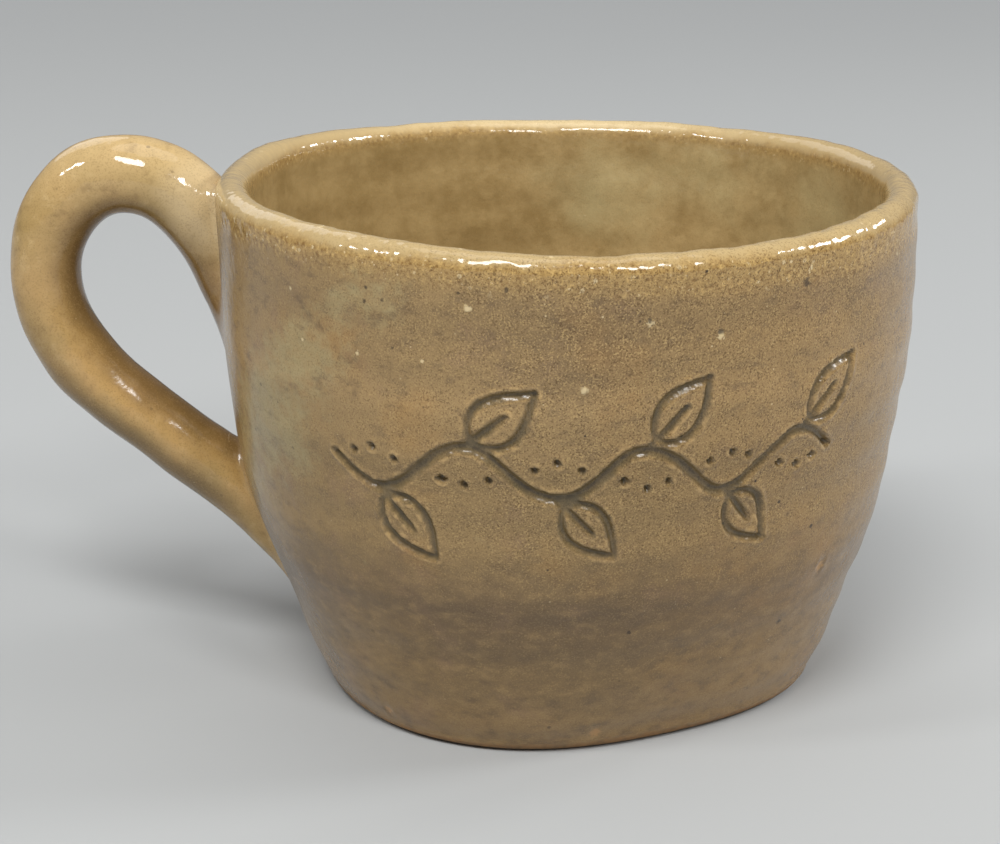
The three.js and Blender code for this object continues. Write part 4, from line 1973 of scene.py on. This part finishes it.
    def coil(self) -> Washes:
        """The coil's glaze over the wall's, by the share of coil at each vertex, with a lilac smear between
        that is partly a painted highlight, and darker glaze in the crease that is partly painted shade.

        Returns:
            The washes, from the lowest up.
        """
        ware = self.ware
        gold = Coat(ware.coil_olive, self._gold())
        # a lilac smear over the join's fillet, strongest by the upper join, where it is partly a painted
        # highlight
        smear_and_painted_highlight = step(0, 0.5, Patch((-43, -5, 54), 13), bottom=0.12, top=0.77)
        return (
            # darker glaze pooled in the crease where the fillet meets the wall, partly painted shade
            wash(ware.crease, 1, step(0, 0.25, COIL), step(28, 46, Z, bottom=0.3, top=0.7)),
            wash(Coat(gold, (wash(ware.lilac, 1, smear_and_painted_highlight),)), 1, step(0.05, 0.35, COIL)),
            wash(gold, 1, step(0.6, 0.97, COIL)),
        )

    def speckle(self, level: float, *sandy: Source) -> Washes:
        """The sandy grain, the iron specks and the cream specks.

        Args:
            level: How strongly they show, from 0 to 1.
            sandy: Masks of where they show.

        Returns:
            The washes, from the lowest up.
        """
        ware = self.ware
        clumps = step(-0.25, 0.25, Grain(2.4, shift=36), bottom=0.6, top=1.2)
        most_iron, iron_gain = 0.85, 1.6
        kinds = (
            (ware.rust, 0.74, 1, step(-0.02, 0.2, Grain(0.24, detail=1))),
            (ware.sand, 0.7, 1, step(0, 0.22, Grain(0.22, shift=3, detail=1))),
            (ware.iron, 0.95, 1, Specks(1.9, 0.27, share=0.35, shift=7)),
            (ware.cream, 0.7, 1, Specks(1.3, 0.17, share=0.35, shift=13)),
            (ware.iron, most_iron, iron_gain / most_iron, Specks(4.6, 0.4, share=0.5, shift=19)),
        )
        made = []
        for paint, strength, gain, specks in kinds:
            made.append(wash(paint, strength, Held(level * gain, (specks, *sandy, clumps))))
        return tuple(made)

    @staticmethod
    def sandiness() -> Sources:
        """Where the grain shows on the body: most on the upper wall, little inside.

        Returns:
            The masks.
        """
        upper = step(20, 40, Z, bottom=0.35, top=1.1)
        crest = Less(step(67.4, 69.2, Z), 0.5)
        soft_side = Less(step(5, -36, X), 0.62)
        return (upper, crest, soft_side, Less(INSIDE, 0.85))

    def flaws(self) -> Washes:
        """The single specks, nicks and pinholes that can be told apart, with a painted highlight on the
        lower rim of each pinhole.

        Returns:
            The washes, from the lowest up.
        """
        ware = self.ware
        shades = {
            Mark.CREAM: ware.cream,
            Mark.IRON: ware.iron,
            Mark.PIT: ware.groove_deep,
            Mark.CHIP: ware.chipped,
        }
        ragged = Grain(0.4, shift=17, detail=4, share=1.8)
        made = []
        for flaw in WALL_FLAWS:
            radius = flaw.radius / MM
            if flaw.mark is Mark.PIT:
                # painted highlight: a cream rim on the lower side of each pit, as if lit from above
                below = Patch(flaw.place(flaw.radius * 0.8), radius * 2)
                made.append(wash(ware.cream, 0.7, step(0.4, 0.7, below, ragged), step(0, 0.3, below)))
            near = Patch(flaw.place(), radius * 1.6)
            masks = (step(0.25, 0.95, near, ragged), step(0, 0.35, near))
            made.append(wash(shades[flaw.mark], 0.75, *masks))
        return tuple(made)

    def crackle(self) -> Washes:
        """The faint pale crackle of the upper left wall."""
        net = Cracks(3.4, shift=(3, 1, 8), stretch=(1, 1, 1.7))
        place = (Patch((-20, -40, 58), 20, soft=0.9), step(0, 0.2, Grain(4, shift=77)))
        return (wash(self.ware.sand, 0.3, step(0.03, 0.006, net), *place),)

    def carving(self) -> Washes:
        """Dark glaze pooled in the cuts, broken pale along their crumbled edges.

        Returns:
            The washes, from the lowest up.
        """
        ware = self.ware
        edge = (Kept("groove"), Grain(0.9, shift=2, detail=3, share=0.8))
        crumbs = step(-0.05, 0.18, Grain(1.1, shift=50))
        depth = step(-0.25, 0.25, Grain(2.5, shift=28), bottom=0.55, top=0.85)
        return (
            wash(ware.groove_edge, 0.55, step(0.7, 0.3, *edge), step(-0.2, 0.15, *edge), crumbs),
            wash(ware.groove, 1, step(0.35, -0.4, *edge), depth),
            wash(ware.groove_deep, 0.6, step(-0.45, -0.85, *edge)),
        )

    def foot(self) -> Washes:
        """Bare gritty clay in a thin line at the foot and all over the underside."""
        grit = wash(self.ware.dark_band, 1, step(-0.2, 0.3, Grain(1.2, shift=4, detail=4)))
        return (wash(Coat(self.ware.foot_clay, (grit,)), 1, BARE),)


@dataclass(frozen=True)
class Skin:
    """How smooth the glaze's surface is."""

    smoothest: float = 0.23
    uneven: float = 0.1  # how much the roughness varies, by each of two noises
    lip_gloss: float = 0.55  # how much smoother the lip is
    bare_roughness: float = 0.78
    index: float = 1.52
    peel_depth: float = 0.07  # of the fine unevenness, in millimetres
    pore_share: float = 0.45  # of that depth, for the finest
    lip_peel: float = 0.8  # how much more of it the lip has, as a share
    lip_pores: float = 0.7  # and how much less of the finest
    dimple_depth: float = 0.0
    lip_span: Span = (64.5, 67.5)

    def dress(self, graph: ShaderGraph, bare: Source | None) -> None:
        """Sets the shader's roughness and bump.

        Args:
            graph: The glaze's graph.
            bare: Where the clay is bare and dull, if anywhere.
        """
        lip = graph.value(step(*self.lip_span, Z))
        noises = (blotch(self.uneven), Grain(0.7, shift=31, share=self.uneven))
        gloss = (graph.total(noises) + self.smoothest) * (1 - lip * self.lip_gloss)
        if bare is not None:
            gloss = gloss + graph.value(bare) * (self.bare_roughness - gloss)
        graph.set("Roughness", gloss)
        graph.set("IOR", self.index)
        peel = graph.value(Grain(1.6, shift=44, detail=1)) * (self.peel_depth * (1 + lip * self.lip_peel))
        pores = self.peel_depth * self.pore_share * (1 - lip * self.lip_pores)
        relief = peel + graph.value(Grain(0.5, shift=15, detail=1)) * pores
        if self.dimple_depth > 0:
            relief = relief + graph.value(Grain(4.5, shift=52, detail=1)) * self.dimple_depth
        graph.bump(relief)


@dataclass(frozen=True)
class Finish:
    """One finish of the cup: what is laid over the wall's bands, and the surface of it."""

    slot: Slot
    washes: Washes
    skin: Skin
    bare: Source | None = None

    def material(self) -> bpy.types.Material:
        """Makes the finish's material.

        Returns:
            The material.
        """
        graph = ShaderGraph(self.slot.value)
        graph.set("Base Color", graph.value(Coat(Glazing().wheel_bands(), self.washes)))
        self.skin.dress(graph, self.bare)
        return graph.material


class Finishes:
    """The cup's three finishes."""

    def __init__(self) -> None:
        """Lays out each one's washes, from the lowest up."""
        glaze = Glazing()
        wall, lip, coil = glaze.wall(), glaze.lip(), glaze.coil()
        marks = glaze.carving() + glaze.flaws() + glaze.foot()
        grained = glaze.inside() + glaze.crackle() + glaze.speckle(1, *glaze.sandiness())
        self.body = Finish(Slot.BODY, wall + lip + grained + marks, Skin(), BARE)
        coil_skin = Skin(smoothest=0.18, peel_depth=0.035, dimple_depth=0.22)
        self.handle = Finish(Slot.HANDLE, wall + coil + glaze.speckle(0.3), coil_skin)
        join_skin = Skin(smoothest=0.17, peel_depth=0.035)
        self.join = Finish(Slot.JOIN, wall + lip + coil + glaze.speckle(0.35), join_skin)


@dataclass(frozen=True)
class Lamp:
    """One soft lamp over the table, which points at the cup."""

    name: str
    direction: Triple  # from the cup
    width: float
    depth: float
    light: float  # its share of the plain level, on a surface square to it


@dataclass
class Studio:
    """Plain pale floor, soft light and a camera at the photograph's angle."""

    floor_size: float = 12.0
    floor_colour: Colour = srgb(176, 178, 178)
    floor_roughness: float = 0.9
    backdrop: Colour = srgb(172, 174, 175)
    fade: Span = (0.35, 1.1)  # how far from the cup the floor fades into the backdrop
    sky_strength: float = 0.22
    lamp_distance: float = 1.3
    aim: Triple = (0.0, 0.0, 0.045)
    camera_place: Triple = (0.0, -0.3012, 0.1314)
    camera_turn: float = -0.02996  # towards +X, in radians
    camera_dip: float = 0.3096
    camera_roll: float = 0.0196
    lens: float = 82.9
    sensor: float = 36.0
    nearest: float = 0.01  # the camera sees nothing that is nearer
    lamps: tuple[Lamp, ...] = (
        Lamp("lamp_left", (-0.68, -0.40, 0.61), 0.18, 0.22, 0.16),
        Lamp("lamp_top", (-0.14, -0.57, 0.81), 0.56, 0.44, 0.65),
        Lamp("lamp_right", (0.37, -0.67, 0.65), 0.28, 0.28, 0.24),
        Lamp("lamp_side", (0.85, 0.10, 0.50), 0.34, 0.24, 0.34),
        Lamp("lamp_far_side", (0.80, 0.50, 0.42), 0.26, 0.18, 0.14),
        Lamp("lamp_over", (0.00, 0.10, 1.00), 0.90, 0.90, 0.15),
        Lamp("lamp_behind", (-0.50, 0.70, 0.60), 0.80, 0.80, 0.12),
    )

    def floor(self) -> None:
        """Lays the floor."""
        bpy.ops.object.select_all(action="DESELECT")
        bpy.ops.mesh.primitive_plane_add(size=self.floor_size)
        floor = bpy.context.active_object
        floor.name = "floor"
        graph = ShaderGraph("floor_paper")
        graph.set("Base Color", self.floor_colour)
        graph.set("Roughness", self.floor_roughness)
        away = graph.add("ShaderNodeVectorMath", {"operation": "LENGTH"}, {0: graph.place}, "Value") * MM
        graph.lay_over(graph.seen_by_camera() * away.rise(*self.fade), self.backdrop)
        floor.data.materials.append(graph.material)
        floor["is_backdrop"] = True

    def sky(self) -> None:
        """Surrounds the scene with plain pale light, which the camera sees as the backdrop."""
        world = bpy.data.worlds.new("studio")
        world.use_nodes = True
        nodes, links = world.node_tree.nodes, world.node_tree.links
        path = nodes.new("ShaderNodeLightPath")
        shade = nodes.new("ShaderNodeMix")
        shade.data_type = "RGBA"
        shade.inputs[6].default_value = (*[self.sky_strength] * 3, 1)
        shade.inputs[7].default_value = (*self.backdrop, 1)
        links.new(path.outputs["Is Camera Ray"], shade.inputs[0])
        links.new(shade.outputs[2], nodes["Background"].inputs["Color"])
        bpy.context.scene.world = world

    def lights(self) -> None:
        """Hangs the lamps."""
        aim = np.array(self.aim)
        for lamp in self.lamps:
            way = unit(np.array(lamp.direction))
            place = aim + way * self.lamp_distance
            bpy.ops.object.select_all(action="DESELECT")
            bpy.ops.object.light_add(type="AREA", location=place)
            light = bpy.context.active_object
            light.name = lamp.name
            light.data.shape = "ELLIPSE"
            light.data.size = lamp.width
            light.data.size_y = lamp.depth
            light.data.energy = lamp.light * (math.pi * self.lamp_distance) ** 2
            side = unit(np.cross([0, 0, 1], way))
            light.matrix_world = self._placed(side, np.cross(way, side), way, place)

    def camera(self) -> None:
        """Stands the camera at the photograph's angle."""
        turn, dip, roll = self.camera_turn, self.camera_dip, self.camera_roll
        ahead = np.array([math.sin(turn) * math.cos(dip), math.cos(turn) * math.cos(dip), -math.sin(dip)])
        level = np.array([math.cos(turn), -math.sin(turn), 0.0])
        above = np.cross(level, ahead)
        right = math.cos(roll) * level + math.sin(roll) * above
        up = math.cos(roll) * above - math.sin(roll) * level
        bpy.ops.object.select_all(action="DESELECT")
        bpy.ops.object.camera_add()
        camera = bpy.context.active_object
        camera.data.sensor_fit = "HORIZONTAL"
        camera.data.sensor_width = self.sensor
        camera.data.lens = self.lens
        camera.data.clip_start = self.nearest
        camera.matrix_world = self._placed(right, up, -ahead, np.array(self.camera_place))
        bpy.context.scene.camera = camera

    @staticmethod
    def _placed(right: Array, up: Array, back: Array, place: Array) -> Matrix:
        """The matrix of an object with those axes at that place."""
        rows = np.eye(4)
        rows[:3] = np.stack([right, up, back, place], axis=1)
        return Matrix(rows.tolist())

    def build(self) -> None:
        """Sets up the whole studio."""
        self.floor()
        self.sky()
        self.lights()
        self.camera()
        bpy.context.scene.view_settings.view_transform = "Standard"


class Cup:
    """The whole cup: a thrown body, a coil and the clay of its two joins."""

    def __init__(self) -> None:
        """Settles the sizes that the pieces share."""
        self.wall = PressedWall()
        self.clay = Clay()
        self.line = CoilLine(self.wall)
        self.body = ThrownBody(self.wall, self.clay)
        self.handle = CoilHandle(self.line, self.clay)

    def joins(self) -> tuple[LutedJoin, LutedJoin]:
        """The clay worked round each end of the coil.

        Returns:
            The upper join and the lower one.
        """
        upper = LutedJoin(
            "upper_join",
            Piece.UPPER_JOIN,
            self.line,
            self.clay,
            inside_share=0,
            outside_share=0.3,
            tail_along=7 * MM,
            tail_down=6 * MM,
            tail_turn=math.pi,
        )
        lower = LutedJoin(
            "lower_join",
            Piece.LOWER_JOIN,
            self.line,
            self.clay,
            inside_share=1,
            outside_share=0.7,
            tail_along=4 * MM,
            tail_down=4 * MM,
            tail_turn=0,
        )
        return upper, lower

    def build(self) -> None:
        """Makes and dresses every piece."""
        finishes = Finishes()
        self.body.build(finishes.body.material())
        core = self.body.core(self.handle.bury)
        self.handle.build(core, finishes.handle.material())
        bpy.data.objects.remove(core)
        join_glaze = finishes.join.material()
        for join in self.joins():
            join.build(join_glaze)


def corners() -> list[list[float]]:
    """The lowest and highest corner of what shows."""
    return [list(corner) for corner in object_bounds()]


def main() -> None:
    """Builds the cup round its frame, and the studio round the cup."""
    logging.basicConfig(level=logging.INFO, format="%(name)s: %(message)s")
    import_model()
    Studio().build()
    Cup().build()


if __name__ == "__main__":
    main()
